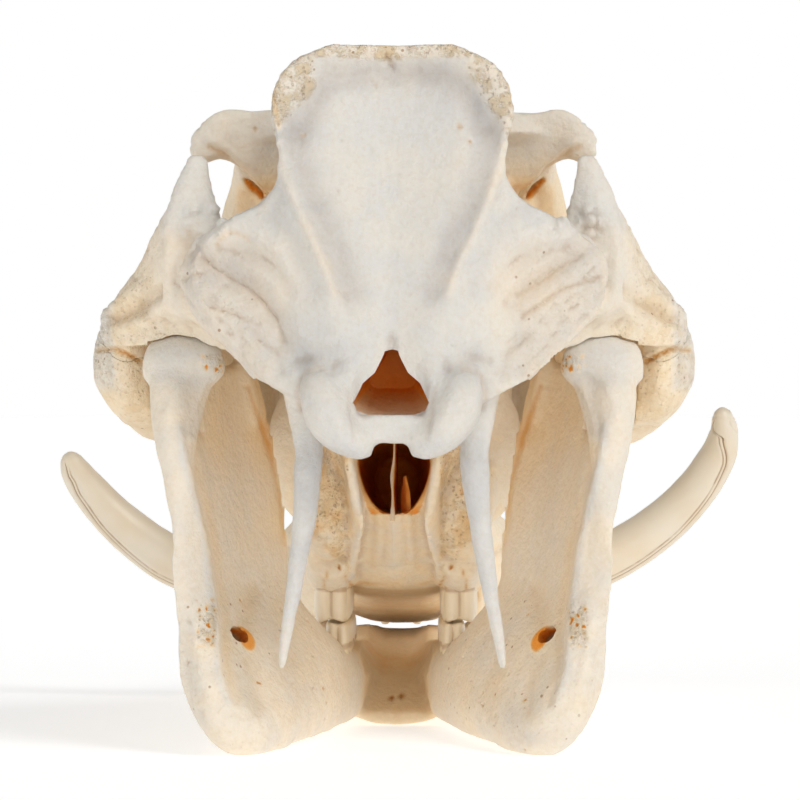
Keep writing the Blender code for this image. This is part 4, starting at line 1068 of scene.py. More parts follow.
def bone_finish(name, tint):
    """Dry bone, bleached white, cream, tan and amber by its warmth, with pores and fibres; the amber paints
    the glow of thin bone, and the marks' darkness is partly painted shade.
    """
    n = Nodes(name)
    tones = colours()
    warmth, dark, worn = n.mark("marks")
    broad = n.noise(34.0, 4.0, 0.6)
    fine = n.noise(520.0, 5.0, 0.65)
    fibres = n.noise(240.0, 4.0, 0.6, stretch=(1.0, 1.0, 0.16))
    shift = n.math("MULTIPLY", n.math("SUBTRACT", broad, 0.5), 0.2)
    streak = n.math("MULTIPLY", n.math("SUBTRACT", fibres, 0.5), 0.09)
    place_on_scale = n.math("ADD", n.math("ADD", warmth, tint), n.math("ADD", shift, streak), clamp=True)
    scale = n.add("ShaderNodeValToRGB", None, Fac=place_on_scale)
    stops = ((0.0, tones.grey), (0.1, tones.white), (0.28, tones.cream), (0.52, tones.tan),
             (0.76, tones.orange), (0.96, tones.amber))
    ramp = scale.color_ramp
    for _ in stops[2:]:
        ramp.elements.new(0.5)
    for element, (spot, value) in zip(ramp.elements, stops):
        element.position = spot
        element.color = (*value, 1.0)
    base = scale.outputs["Color"]
    # Grey clouds of the bleached bone, fine mottling, and dark pores where it is worn
    clouds = n.math("MULTIPLY", n.ramp(n.noise(60.0, 3.0, 0.6), 0.5, 0.75), 0.12)
    base = n.mix(clouds, base, (0.84, 0.82, 0.82), "MULTIPLY")
    base = n.mix(n.math("MULTIPLY", n.ramp(fine, 0.4, 0.72), 0.32), base, (0.86, 0.79, 0.68), "MULTIPLY")
    grains = n.cells(520.0)
    pore = n.math("MULTIPLY", n.ramp(grains, 0.3, 0.1), n.ramp(worn, 0.1, 0.8))
    patches = n.math("MULTIPLY", n.ramp(n.noise(190.0, 4.0, 0.7), 0.42, 0.62), n.ramp(worn, 0.1, 0.9))
    holes = n.math("MULTIPLY", n.ramp(n.cells(190.0), 0.13, 0.08), n.ramp(n.noise(40.0), 0.5, 0.56))
    holes = n.math("MULTIPLY", holes, n.ramp(worn, 0.05, 0.25))
    base = n.mix(n.math("MULTIPLY", holes, 0.7), base, tuple(tones.crevice), "MULTIPLY")
    base = n.mix(n.math("MULTIPLY", patches, 0.7), base, tuple(tones.porous), "MULTIPLY")
    base = n.mix(n.math("MULTIPLY", pore, 0.2), base, tuple(tones.crevice), "MULTIPLY")
    # Darkness from the marks: painted shade in hollows, grooves and slits, and the dark of cracks and pores
    base = n.mix(n.math("MULTIPLY", dark, 0.9), base, tuple(tones.crevice), "MULTIPLY")
    n.put(n.shader.inputs["Base Color"], base)
    n.put(n.shader.inputs["Roughness"], n.ramp(fine, 0.2, 0.8, 0.48, 0.66))
    n.shader.inputs["Subsurface Weight"].default_value = 0.1
    n.shader.inputs["Subsurface Radius"].default_value = (0.004, 0.0022, 0.0012)
    n.shader.inputs["Subsurface Scale"].default_value = 1.0
    n.shader.inputs["Specular IOR Level"].default_value = 0.35
    coarse = n.math("MULTIPLY", n.math("SUBTRACT", patches, pore), 1.4)
    first = n.bump(n.math("ADD", fine, coarse), 0.75, 0.0006)
    second = n.bump(fibres, 0.18, 0.0006, below=first)
    n.put(n.shader.inputs["Normal"], n.bump(n.noise(130.0, 3.0), 0.35, 0.0012, below=second))
    return n.material


def ivory_finish():
    """Smooth ivory, darker in its grooves."""
    n = Nodes("ivory")
    tones = colours()
    warmth, dark, _ = n.mark("marks")
    broad = n.noise(45.0, 3.0, 0.6)
    tint = n.math("ADD", warmth, n.math("MULTIPLY", n.math("SUBTRACT", broad, 0.5), 0.9), clamp=True)
    base = n.mix(tint, tuple(tones.ivory), tuple(tones.ivory_tan))
    base = n.mix(n.math("MULTIPLY", dark, 0.85), base, tuple(tones.crevice), "MULTIPLY")
    n.put(n.shader.inputs["Base Color"], base)
    n.put(n.shader.inputs["Roughness"], n.ramp(broad, 0.2, 0.8, 0.28, 0.45))
    n.shader.inputs["Subsurface Weight"].default_value = 0.12
    n.shader.inputs["Subsurface Radius"].default_value = (0.004, 0.003, 0.002)
    n.shader.inputs["Subsurface Scale"].default_value = 1.0
    n.put(n.shader.inputs["Normal"], n.bump(n.noise(260.0, 3.0, stretch=(0.3, 1, 1)), 0.2, 0.0004))
    return n.material


def enamel_finish():
    """Glossy enamel, brown where it is hollow and where it leaves the bone."""
    n = Nodes("enamel")
    tones = colours()
    warmth, dark, _ = n.mark("marks")
    broad = n.noise(160.0, 3.0)
    tint = n.math("MULTIPLY", n.math("ADD", warmth, broad), 0.45)
    base = n.mix(tint, tuple(tones.enamel), tuple(tones.ivory_tan))
    base = n.mix(dark, base, tuple(tones.crevice), "MULTIPLY")
    n.put(n.shader.inputs["Base Color"], base)
    n.shader.inputs["Roughness"].default_value = 0.3
    n.put(n.shader.inputs["Normal"], n.bump(n.noise(500.0, 3.0), 0.2, 0.0003))
    return n.material


FINISHES = {}


def shared(make, *values):
    """The finish of that name, made once."""
    key = values[0] if values else make.__name__
    if key not in FINISHES:
        FINISHES[key] = make(*values)
    return FINISHES[key]


# Points, noise and marks

def surface_normals(item):
    """The normals at a piece's points."""
    flat = np.empty(3 * len(item.data.vertices))
    item.data.vertex_normals.foreach_get("vector", flat)
    return flat.reshape(-1, 3)


def neighbour_mean(item, values, rounds, weight=1.0):
    """Values at a piece's points, evened out among neighbours as far as their weight allows."""
    edges = np.empty(2 * len(item.data.edges), dtype=np.int64)
    item.data.edges.foreach_get("vertices", edges)
    start, end = edges.reshape(-1, 2).T
    count = np.maximum(np.bincount(np.concatenate([start, end]), minlength=len(values)), 1)
    for _ in range(rounds):
        columns = []
        for column in values.T:
            total = np.bincount(start, column[end], len(column))
            total = total + np.bincount(end, column[start], len(column))
            columns.append(column + weight * 0.5 * (total / count - column))
        values = np.stack(columns, axis=1)
    return values


def brush_smooth(item, weight, rounds):
    """Evens out a piece's points where their weight from 0 to 1 says so."""
    set_points(item, neighbour_mean(item, mesh_points(item), rounds, weight))


def thin(item, limit):
    """Takes points out of the flattest stretches until a piece has no more triangles than the limit."""
    count = sum(len(face.vertices) - 2 for face in item.data.polygons)
    if count > limit:
        fewer = item.modifiers.new("fewer", "DECIMATE")
        fewer.ratio = limit / count
        fewer.use_collapse_triangulate = True
        apply_all(item)


def cell_numbers(cells, seed):
    """A whole number for each cell of a grid, which its place and the seed decide."""
    x, y, z = (cells * CELL_FACTORS).T
    return x ^ y ^ z ^ seed


def stirred(numbers):
    """The same whole numbers, stirred so that neighbours differ."""
    return (numbers ^ (numbers >> 13)) * STIR_FACTOR


def low_part(numbers):
    """Whole numbers from 0 to 65535 out of larger ones."""
    return (numbers ^ (numbers >> 16)) & 65535


def grain(points, cell, seed):
    """Smooth noise from -1 to 1 over points in millimetres, with lumps about one cell across."""
    spot = points / cell
    corner = np.floor(spot).astype(np.int64)
    ease = spot - corner
    ease = ease * ease * (3 - 2 * ease)
    total = np.zeros(len(points))
    for step in np.ndindex(2, 2, 2):
        mixed = stirred(cell_numbers(corner + step, seed * SEED_FACTOR + 12345))
        value = low_part(mixed) / 32767.5 - 1
        total += value * np.prod(np.where(step, ease, 1 - ease), axis=1)
    return total


def pits(points, cell, share, size, seed):
    """Round pits, 1 at their middle and 0 outside, in a share of the cells of a jittered grid."""
    spot = points / cell
    corner = np.floor(spot).astype(np.int64)
    depth = np.zeros(len(points))
    for step in np.ndindex(3, 3, 3):
        home = corner + np.array(step) - 1
        mixed = cell_numbers(home, seed * SEED_FACTOR + 777)
        draws = []
        for turn in range(4):
            mixed = stirred(mixed) + turn
            draws.append(low_part(mixed) / 65536)
        middle = home + 0.2 + 0.6 * np.stack(draws[:3], axis=1)
        away = np.linalg.norm(spot - middle, axis=1)
        depth = np.maximum(depth, (draws[3] < share) * smooth_step(away, size, 0.3 * size))
    return depth


def closeness(points, near_y, far_y, width, line):
    """How close points come to a line drawn on the bone from behind, from 1 on it to 0 away from it."""
    path = curve_rows(line, 5)
    flat = points[:, (X, Z)]
    margin = 3 * width
    inside = np.all((flat > path.min(axis=0) - margin) & (flat < path.max(axis=0) + margin), axis=1)
    inside &= (points[:, Y] > near_y) & (points[:, Y] < far_y)
    found = np.flatnonzero(inside)
    away = np.full(len(found), np.inf)
    for start, end in zip(path[:-1], path[1:]):
        run = end - start
        along = np.clip((flat[found] - start) @ run / max(run @ run, 1e-9), 0, 1)
        away = np.minimum(away, np.linalg.norm(flat[found] - start - along[:, None] * run, axis=1))
    result = np.zeros(len(points))
    result[found] = np.exp(-(away / width) ** 2)
    return result


def drawn(points, normals, lines):
    """Rise, warmth and darkness that a table of lines gives to points on the faces that look back."""
    wavy = points + 0.35 * np.stack([grain(points, 3.0, seed) for seed in (21, 22, 23)], axis=1)
    facing = smooth_step(-normals[:, Y], -0.15, 0.25)
    rise, warmth, darkness = np.zeros((3, len(points)))
    for lift, width, warm, dark, near_y, far_y, side, line in lines:
        seen = wavy.copy()
        if side == 0:
            seen[:, X] = np.abs(seen[:, X])
        elif side is not None:
            seen[:, X] *= side
        close = closeness(seen, near_y, far_y, width, line) * facing
        rise += lift * close
        warmth += warm * close
        darkness = np.maximum(darkness, dark * close)
    return rise, warmth, darkness


def smooth_step(values, low, high):
    """A soft step from 0 at low to 1 at high."""
    t = np.clip((values - low) / (high - low), 0, 1)
    return t * t * (3 - 2 * t)


def own_points(item):
    """A piece's points in millimetres in the skull's own frame."""
    return mesh_points(item) / MILLIMETRE + (0.0, 0.5 * SKULL_LENGTH, 0.0)


def set_marks(item, warmth, dark, worn):
    """Keeps a piece's warmth, darkness and porousness with its points, for its material."""
    layer = item.data.color_attributes.new("marks", "FLOAT_COLOR", "POINT")
    values = np.stack([warmth, dark, worn, np.ones(len(warmth))], axis=1)
    layer.data.foreach_set("color", np.clip(values, 0, 1).ravel())


def hollowness(item, rounds):
    """How far each point lies below its surroundings, in millimetres."""
    points = mesh_points(item)
    rise = neighbour_mean(item, points, rounds) - points
    return np.einsum("ij,ij->i", rise, surface_normals(item)) / MILLIMETRE


def finish(item, material, slot, *nodes):
    """Keeps a piece inside the solids' box, shades it, ties it to the body and hides the nodes it stands for.
    """
    set_points(item, np.clip(mesh_points(item), *SOLID_BOX))
    pick([item])
    bpy.ops.object.shade_smooth_by_angle(angle=math.radians(40))
    item.data.materials.clear()
    item.data.materials.append(material)
    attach(item, "root")
    if nodes:
        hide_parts(*nodes)
    return item


# Sculpting and colours by place

def folded(points):
    """The points with x counted from the middle."""
    return points * (0, 1, 1) + np.abs(points) * (1, 0, 0)


def place_share(points, limits, share=1.0):
    """How far points lie inside soft limits, from 0 to 1, times a share."""
    for axis, start, full in limits:
        share = share * smooth_step(points[:, axis], start, full)
    return share


def push_out(item, normals, rise):
    """Moves a piece's points along their normals by so many millimetres."""
    set_points(item, mesh_points(item) + normals * (rise * MILLIMETRE)[:, None])


def crest_pores(points):
    """Where the crest's porous upper corners lie, from 0 to 1."""
    x, y, z = points.T
    wavy = np.abs(x) + 2.5 * grain(points, 6.0, 31)
    corner = smooth_step(wavy + 0.8 * (z - 222), 27, 33)
    corner = corner * smooth_step(z, 205, 212) * smooth_step(wavy, 24, 29)
    top = smooth_step(z + 0.8 * grain(points, 5.0, 32), 236.0, 238.0)
    return np.maximum(corner, top) * smooth_step(y, 62, 50)


def cheek_rim(points):
    """Where the pitted outer rim of the cheek bone's rear edge lies, from 0 to 1."""
    outer = smooth_step(np.abs(points[:, X]) + 0.8 * grain(points, 4.0, 33), 96, 99)
    return place_share(points, CHEEK_REAR, outer)


def carve_skull(item, amount):
    """Sculpts the upper skull: drawn lines, striped muscle scars, pores and the unevenness of old bone."""
    points, normals = own_points(item), surface_normals(item)
    sided = folded(points)
    x, y, z = sided.T
    rise = drawn(points, normals, SKULL_LINES)[0]
    rear = place_share(sided, REAR_FACE)
    middle = place_share(sided, REAR_MIDDLE, rear)
    rise += (0.34 * grain(points, 8.0, 3) + 0.14 * grain(points, 3.0, 4)) * (1 - 0.75 * middle)
    # Stripes run down and inwards over the wings, and down the cheek arch
    slant = np.stack([(x * 0.78 + z * 0.62) / 5.5, y / 4.0, (z * 0.78 - x * 0.62) / 1.5], axis=1)
    stripes = smooth_step(grain(slant, 1.0, 5), 0.1, 0.7)
    scars = np.maximum(place_share(sided, WING_SCARS, rear), 0.7 * place_share(sided, CHEEK_SCARS))
    rise -= 0.6 * stripes * scars
    crest = 0.45 * pits(points, *CREST_PITS) + 0.34 * grain(points, 2.2, 7) + 0.15 * grain(points, 4.5, 8)
    rise -= crest_pores(points) * crest
    rise -= cheek_rim(points) * 0.7 * pits(points, *RIM_PITS)
    rise -= place_share(sided, FRONTAL_KNOB) * 0.5 * pits(points, *FRONTAL_PITS)
    # Nodules at the foot of the spike
    rise += place_share(sided, SPIKE_FOOT) * (1.8 * pits(points, *FOOT_NODULES) - 0.5)
    rise -= 0.5 * rear * pits(points, *VESSEL_PITS)
    push_out(item, normals, rise * amount)


def carve_jaw(item, amount):
    """Sculpts the lower jaw: its ridges and folds, the pits of its body and its rough patches."""
    points, normals = own_points(item), surface_normals(item)
    rise = drawn(points, normals, JAW_LINES)[0]
    rise += 0.26 * grain(points, 8.0, 13) + 0.1 * grain(points, 3.0, 14)
    rise -= 1.2 * body_pits(points)
    rise -= 0.5 * border_patch(points) * pits(points, *BORDER_PITS)
    push_out(item, normals, rise * amount)


def body_pits(points):
    """Scattered small vessel holes over the inner body of the jaw and its border."""
    where = np.maximum(place_share(points, JAW_INNER_BODY), place_share(points, JAW_BORDER_FOOT, 0.6))
    return where * pits(points, *BODY_PITS)


def border_patch(points):
    """Rough stained patches of the jaw's rear border and of the joint knob, from 0 to 1."""
    sided = folded(points)
    return np.maximum(place_share(sided, BORDER_STAIN), place_share(sided, KNOB_STAIN))


def choana_share(sided):
    """Which points lie inside the choana, from 0 to 1."""
    x, _, z = sided.T
    reach = np.interp(z, CHOANA_HEIGHTS, CHOANA_HALF_WIDTHS)
    return place_share(sided, CHOANA_DEPTH, smooth_step(reach - x, -0.3, 1.0))


def skull_marks(item):
    """Colours of the upper skull by place: bleached behind, tan in its depths, amber inside its openings as
    painted glow, and painted shade in its hollows.
    """
    points, normals = own_points(item), surface_normals(item)
    sided = folded(points)
    x, y, z = sided.T
    _, warmth, dark = drawn(points, normals, SKULL_LINES)
    # From the bleached back forward to the tan walls of the temporal space and the snout
    base = 0.12 + 0.2 * smooth_step(y, 38, 66)
    base += place_share(sided, WINGS, 0.09) - 0.08 * smooth_step(z, 116, 98) * (y < 44)
    base -= place_share(sided, FRONTAL_EDGE, 0.1)
    sides = np.maximum(0.44 * place_share(sided, JUGAL), 0.56 * place_share(sided, TEMPORAL_WALLS))
    base = np.maximum(np.maximum(base, sides), 0.46 * smooth_step(y, 100, 140))
    # Painted light: the pocket by the palatine is paler, standing in for light that its depth keeps out
    base -= 0.2 * place_share(sided, PALATINE_POCKET)
    # Palate under the choana, and the rough hollows beside it
    under = (z < 108) & (y > 68) & (y < 165) & (x < 39)
    slope = smooth_step(z - 1.02 * (x - 17) + grain(points, 4.0, 45), 57.5, 60.5)
    fossa = place_share(sided, FOSSA_END, under * smooth_step(x, 15, 17) * slope)
    base = np.where(under, 0.4 + 0.1 * grain(points, 5.0, 41), base)
    base += fossa * (0.08 + 0.16 * grain(points, 4.0, 44))
    base += under * (0.14 * smooth_step(y, 138, 152) * smooth_step(z, 64, 56))
    # Inside of the choana with its septum and its two blades; the amber deep inside and the orange of the
    # blades paint the glow of light through thin bone
    choana = choana_share(sided)
    inside = 0.58 + 0.36 * smooth_step(y, 94, 112) + 0.06 * smooth_step(z, 98, 92)
    base = np.maximum(base, choana * inside)
    septum = (x < 1.7) & (y < 102) & (choana > 0.3)
    blades = (x > 1.9) & (x < 6.4) & (y > 104.5) & (y < 117) & (z < 95) & (choana > 0.5)
    base = np.where(septum, 0.34, np.where(blades, 0.84, base))
    # Inside of the foramen magnum, amber as painted glow of light through thin bone, paler on its floor
    floor = smooth_step(z, 121, 117.5) * smooth_step(y, 46, 36)
    base = np.maximum(base, place_share(sided, BRAIN_CAVITY) * (0.97 - 0.5 * floor))
    porous, rim = crest_pores(points), cheek_rim(points)
    base += 0.13 * porous - 0.2 * rim
    base += 0.04 * grain(points, 20.0, 8) + 0.03 * grain(points, 6.0, 42)
    # Painted shade darkens the hollow places, the lower choana and the wings
    dark = np.maximum(dark, 0.3 * smooth_step(hollowness(item, 10), 0.1, 0.5))
    shade = choana * 0.15 * smooth_step(z, 97, 90)
    dark = np.where(septum | blades, dark, np.maximum(dark, shade))
    # Painted shade darkens the wings, as though they faced away from the light; the same place is also worn
    # and porous
    wing = place_share(sided, WORN_AND_SHADED_WINGS, 0.3) * (z > 128)
    arch = place_share(sided, ARCH_SIDE, 0.45)
    worn = np.maximum.reduce([porous, wing, 0.5 * rim, arch, 0.7 * fossa])
    set_marks(item, base + warmth, dark + 0.35 * wing, worn)


def jaw_marks(item):
    """Colours of the lower jaw by place: pale border and joint, cream inner face, tan by its front edge."""
    points, normals = own_points(item), surface_normals(item)
    sided = folded(points)
    _, warmth, dark = drawn(points, normals, JAW_LINES)
    base = 0.2 + 0.06 * smooth_step(points[:, Y], 48, 60)
    base += place_share(sided, JAW_UPPER_INNER, 0.14)
    base += place_share(sided, JAW_FRONT_INNER, 0.12)
    base = np.maximum(base, place_share(sided, CHIN_MIDDLE, 0.46))
    base -= place_share(sided, JOINT_TOP, 0.1)
    canal = np.linalg.norm(sided - CANAL_MOUTH, axis=1)
    base = np.maximum(base, 0.85 * smooth_step(canal, 7.5, 5.5))
    patch = border_patch(points)
    stain = patch * smooth_step(pits(points, *BORDER_PITS), 0.2, 0.8)
    holes = smooth_step(body_pits(points), 0.25, 0.7)
    base += 0.85 * stain + 0.5 * holes
    base += 0.06 * grain(points, 18.0, 8) + 0.04 * grain(points, 6.0, 43)
    # Painted shade darkens the jaw's hollow places
    low = 0.25 * smooth_step(hollowness(item, 10), 0.2, 0.8)
    dark = np.maximum.reduce([dark, 0.7 * holes, 0.4 * stain, low])
    set_marks(item, base + warmth, dark, 0.5 * patch + place_share(points, JAW_WORN, 0.3))


# Sizes and colours that a user may change

def length(name, text, value):
    """A length in metres."""
    return FloatProperty(
        name=name, description=text, default=value, unit="LENGTH", subtype="DISTANCE", precision=5)


def tone(name, text, value):
    """A colour."""
    return FloatVectorProperty(
        name=name, description=text, default=value, size=3, min=0.0, max=1.0, subtype="COLOR")


class SkullSizes(bpy.types.PropertyGroup):
    surface_grid: length("Surface grid", "Spacing of the points that bone surfaces are remade on", 0.00115)
    tooth_grid: length("Tooth grid", "Spacing of the points that teeth are remade on", 0.0006)
    piece_limit: IntProperty(
        name="Piece limit", description="Most triangles that a bone keeps",
        default=190000, min=10000, max=199000)
    rounding_rounds: IntProperty(
        name="Rounding", description="Rounds of smoothing after a surface is remade",
        default=7, min=1, max=30)
    unevenness: FloatProperty(
        name="Unevenness", description="Strength of the bone's relief",
        default=1.0, min=0.0, max=3.0, subtype="FACTOR")
    groove_depth: length("Groove depth", "Depth of the groove along a tusk", 0.0009)


class SkullColours(bpy.types.PropertyGroup):
    grey: tone("Bone grey", "Greyish bleached bone", (0.60, 0.585, 0.57))
    white: tone("Bone white", "Bleached bone at the back of the skull", (0.72, 0.695, 0.65))
    cream: tone("Bone cream", "Pale bone of the cheeks and the jaw's border", (0.87, 0.775, 0.64))
    tan: tone("Bone tan", "Bone inside the jaw and the temporal spaces", (0.95, 0.77, 0.525))
    orange: tone("Bone orange", "Thin bone near the openings", (0.84, 0.47, 0.16))
    # Amber paints the glow of light through thin bone inside the openings
    amber: tone("Amber", "Thin bone that glows inside the openings", (1.0, 0.34, 0.02))
    porous: tone("Porous bone", "Stain of the porous rims", (0.78, 0.66, 0.47))
    # Crevice darkens pores and cracks, and also paints shade into hollows, grooves and slits
    crevice: tone("Crevice", "Darkening of pores, cracks and deep hollows", (0.42, 0.25, 0.13))
    ivory: tone("Ivory", "Cream of the tusks and teeth", (0.82, 0.735, 0.60))
    ivory_tan: tone("Ivory tan", "Stained parts of the tusks and teeth", (0.76, 0.60, 0.39))
    enamel: tone("Enamel", "Cream of the cheek teeth", (1.0, 0.88, 0.68))
    floor: tone("Floor", "Pale studio floor", (0.75, 0.75, 0.75))


class UpperSkull(bpy.types.Operator):
    """Models the braincase, the snout and the two cheek bones of the upper skull"""
    bl_idname = "skull.upper_skull"
    bl_label = "Upper skull"

    def execute(self, context):
        body = upper_skull()
        carve_skull(body, sizes().unevenness)
        pieces = []
        for name, flip in (("cheekbone_right", False), ("cheekbone_left", True)):
            region = cheek_region(GAP)
            piece = copy_of(body, "bone_" + name)
            combine(piece, [flipped(region) if flip else region], "INTERSECT")
            pieces.append((piece, name))
        snout = copy_of(body, "bone_snout")
        combine(snout, [snout_region(0.5 * GAP)], "INTERSECT")
        pieces.append((snout, "snout"))
        combine(body, [both_sides(cheek_region(0.0)), snout_region(0.0)], "DIFFERENCE")
        body.name = body.data.name = "bone_braincase"
        pieces.append((body, "braincase"))
        bone = shared(bone_finish, "bone", 0.0)
        for piece, node in pieces:
            keep_largest(piece)
            thin(piece, sizes().piece_limit)
            skull_marks(piece)
            finish(piece, bone, "bone", node)
        return {"FINISHED"}


def jaw_body():
    """The lower jaw in one closed surface, with its inner walls evened out."""
    side = both_sides(join("side", built(JAW_SIDE)))
    body = join("bone_mandible", [loft("symphysis", SYMPHYSIS, 2.4), side])
    soften(body)
    combine(body, [limb("tongue_trough", TONGUE_TROUGH)], "DIFFERENCE")
    soften(body, rounds=4)
    points, normals = own_points(body), surface_normals(body)
    inwards = -0.9 * normals[:, X] * np.sign(points[:, X]) - 0.4 * normals[:, Y]
    inner = smooth_step(inwards, 0.0, 0.4) * place_share(points, JAW_LOW)
    brush_smooth(body, place_share(points, JAW_BEHIND_CHIN, inner), 110)
    brush_smooth(body, place_share(points, JAW_NECK), 25)
    combine(body, [both_sides(limb("jaw_canal", JAW_CANAL))], "DIFFERENCE")
    return body


class LowerJaw(bpy.types.Operator):
    """Models the lower jaw"""
    bl_idname = "skull.lower_jaw"
    bl_label = "Lower jaw"

    def execute(self, context):
        body = jaw_body()
        carve_jaw(body, sizes().unevenness)
        combine(body, [box("floor", *BELOW_FLOOR)], "DIFFERENCE")
        keep_largest(body)
        thin(body, sizes().piece_limit)
        jaw_marks(body)
        finish(body, shared(bone_finish, "jaw_bone", 0.05), "jaw_bone", "mandible")
        return {"FINISHED"}


def tooth_column(x, y, side, wide, deep, root, tip):
    """One rounded column of a cheek tooth, from its root to its worn tip."""
    up = math.copysign(1, tip - root)
    # Share of the tooth's width that the column stands aside, its height, and its two radii in shares
    stations = ((0.47, root, 1.0, 0.50), (0.50, 0.4 * root + 0.6 * tip, 1.02, 0.56),
                (0.46, tip - up * 0.9, 0.95, 0.52), (0.44, tip, 0.7, 0.38))
    rows = []
    for aside, z, long, across in stations:
        rows.append((x + aside * side * wide, y, z, deep * long, across * wide))
    return limb("column", rows, FORWARD, sides=20, steps=4)


def tooth_row(start, centre_x, half_width, root, crown, lengths, drift):
    """Cheek teeth from back to front; each is pairs of rounded columns, the rearmost pair narrower."""
    columns = []
    up = math.copysign(1, crown - root)
    y = start
    for number, long in enumerate(lengths):
        count = max(2, round(long / COLUMN_PITCH))
        for k in range(count):
            middle = y + long * (k + 0.5) / count
            x = centre_x + drift * (middle - start)
            wide = half_width * (1 - 0.05 * number) * (0.86 if k == 0 else 1.0)
            for side in (-1, 1):
                worn = 0.5 * math.sin(5.1 * k + 2.3 * side + number)
                tip = crown + up * 0.3 * (worn - 0.5)
                columns.append(tooth_column(x, middle, side, wide, 0.57 * long / count, root, tip))
        y += long + TOOTH_GAP
    return columns


def lower_incisors():
    """The three lower incisors of the right side, which lie almost flat."""
    found = []
    for k, x in enumerate(LOWER_INCISORS):
        tip = (x * 0.9, 352 - 5 * k, 21, 1.6, 2.6)
        rows = [(x, 326 - 4 * k, 20, 2.6, 3.3), (x, 340 - 5 * k, 20.5, 2.4, 3.2), tip]
        found.append(limb("incisor", rows, sides=20))
    return found


class Teeth(bpy.types.Operator):
    """Models the cheek teeth and the incisors of both jaws"""
    bl_idname = "skull.teeth"
    bl_label = "Teeth"

    def execute(self, context):
        enamel = shared(enamel_finish)
        rows = (
            ("teeth_upper_cheek", tooth_row(*UPPER_ROW), "bone", UPPER_GUM),
            ("teeth_lower_cheek", tooth_row(*LOWER_ROW), "jaw_bone", LOWER_GUM),
            ("teeth_upper_front", [limb("incisor", UPPER_INCISOR, sides=20)], "bone", UPPER_FRONT_GUM),
            ("teeth_lower_front", lower_incisors(), "jaw_bone", LOWER_FRONT_GUM),
        )
        for name, pieces, slot, gum in rows:
            row = both_sides(join(name, pieces))
            soften(row, sizes().tooth_grid, 3)
            points = own_points(row)
            # Darker where the tooth is hollow and along the gum line
            stain = 3.5 * np.maximum(hollowness(row, 6), 0)
            by_gum = np.abs(points[:, Z] - gum + 0.8 * grain(points, 4.0, 52))
            stain += 0.55 * smooth_step(by_gum, 1.3, 0.5)
            tint = 0.3 + 0.3 * grain(points, 3.0, 51)
            set_marks(row, tint, np.clip(stain, 0, 0.8), np.zeros(len(stain)))
            finish(row, enamel, slot)
        return {"FINISHED"}


def grooved_rings(rows, side):
    """Rings round a tusk's path, pulled in along its grooves."""
    placed = [(side * x, y, z, r, TUSK_FLATNESS * r) for x, y, z, r in rows]
    rings = np.array(limb_rings(placed, TUSK_SIDES, TUSK_STEPS, UPWARD))
    centres = rings.mean(axis=1, keepdims=True)
    turn = 360.0 * np.arange(TUSK_SIDES) / TUSK_SIDES
    groove = np.zeros(TUSK_SIDES)
    for angle, wide, deep in TUSK_GROOVES:
        away = np.abs((turn - (180.0 - side * angle) + 180.0) % 360.0 - 180.0)
        groove += deep * np.exp(-(away / wide) ** 2)
    radius = np.linalg.norm(rings - centres, axis=2, keepdims=True)
    fade = smooth_step(radius, *GROOVE_FADE)
    depth = sizes().groove_depth / MILLIMETRE * groove[None, :, None] * fade
    return centres + (rings - centres) * (1 - np.minimum(depth / radius, 0.5))


class Tusks(bpy.types.Operator):
    """Models the four tusks with their long grooves"""
    bl_idname = "skull.tusks"
    bl_label = "Tusks"

    def execute(self, context):
        ivory = shared(ivory_finish)
        tusks = (
            ("tusk_upper_right", UPPER_TUSK_RIGHT, 1),
            ("tusk_upper_left", UPPER_TUSK_LEFT, -1),
            ("tusk_lower_right", LOWER_TUSK, 1),
            ("tusk_lower_left", LOWER_TUSK, -1),
        )
        for name, rows, side in tusks:
            piece = sweep("ivory_" + name, grooved_rings(rows, side))
            piece.data.name = piece.name
            points = own_points(piece)
            waves = 0.12 * grain(points, 7.0, 61) + 0.05 * grain(points, 2.2, 62)
            push_out(piece, surface_normals(piece), waves)
            # Darker where the tusk is hollow, along its grooves
            stain = smooth_step(hollowness(piece, 8), 0.03, 0.2)
            set_marks(piece, 0.22 + 0.3 * grain(points, 12.0, 63), stain, np.zeros(len(stain)))
            finish(piece, ivory, "ivory", name)
        return {"FINISHED"}


def soft_sky(scene):
    """A white sky that is dimmer behind the camera and above."""
    scene.world = bpy.data.worlds.new("soft_light")
    scene.world.use_nodes = True
    tree = scene.world.node_tree
    sky = tree.nodes["Background"]
    sky.inputs["Color"].default_value = (1.0, 1.0, 1.0, 1.0)
    direction = tree.nodes.new("ShaderNodeTexCoord").outputs["Generated"]
    parts = tree.nodes.new("ShaderNodeSeparateXYZ")
    tree.links.new(direction, parts.inputs[0])
    levels = []
    for side, low, high, first, last in SKY:
        level = tree.nodes.new("ShaderNodeMapRange")
        level.interpolation_type = "SMOOTHSTEP"
        for key, value in (("From Min", low), ("From Max", high), ("To Min", first), ("To Max", last)):
            level.inputs[key].default_value = value
        tree.links.new(parts.outputs[side], level.inputs["Value"])
        levels.append(level.outputs[0])
    strength = tree.nodes.new("ShaderNodeMath")
    strength.operation = "MULTIPLY"
    tree.links.new(levels[0], strength.inputs[0])
    tree.links.new(levels[1], strength.inputs[1])
    tree.links.new(strength.outputs[0], sky.inputs["Strength"])


def add_suns(scene):
    """The soft lamps of the studio."""
    for name, azimuth, height, softness, power in SUNS:
        lamp = bpy.data.lights.new(name, "SUN")
        lamp.angle = math.radians(softness)
        lamp.energy = power
        item = bpy.data.objects.new(name, lamp)
        scene.collection.objects.link(item)
        aside, up = math.radians(azimuth), math.radians(height)
        toward = Vector((math.sin(aside) * math.cos(up), -math.cos(aside) * math.cos(up), math.sin(up)))
        item.rotation_euler = toward.to_track_quat("Z", "Y").to_euler()


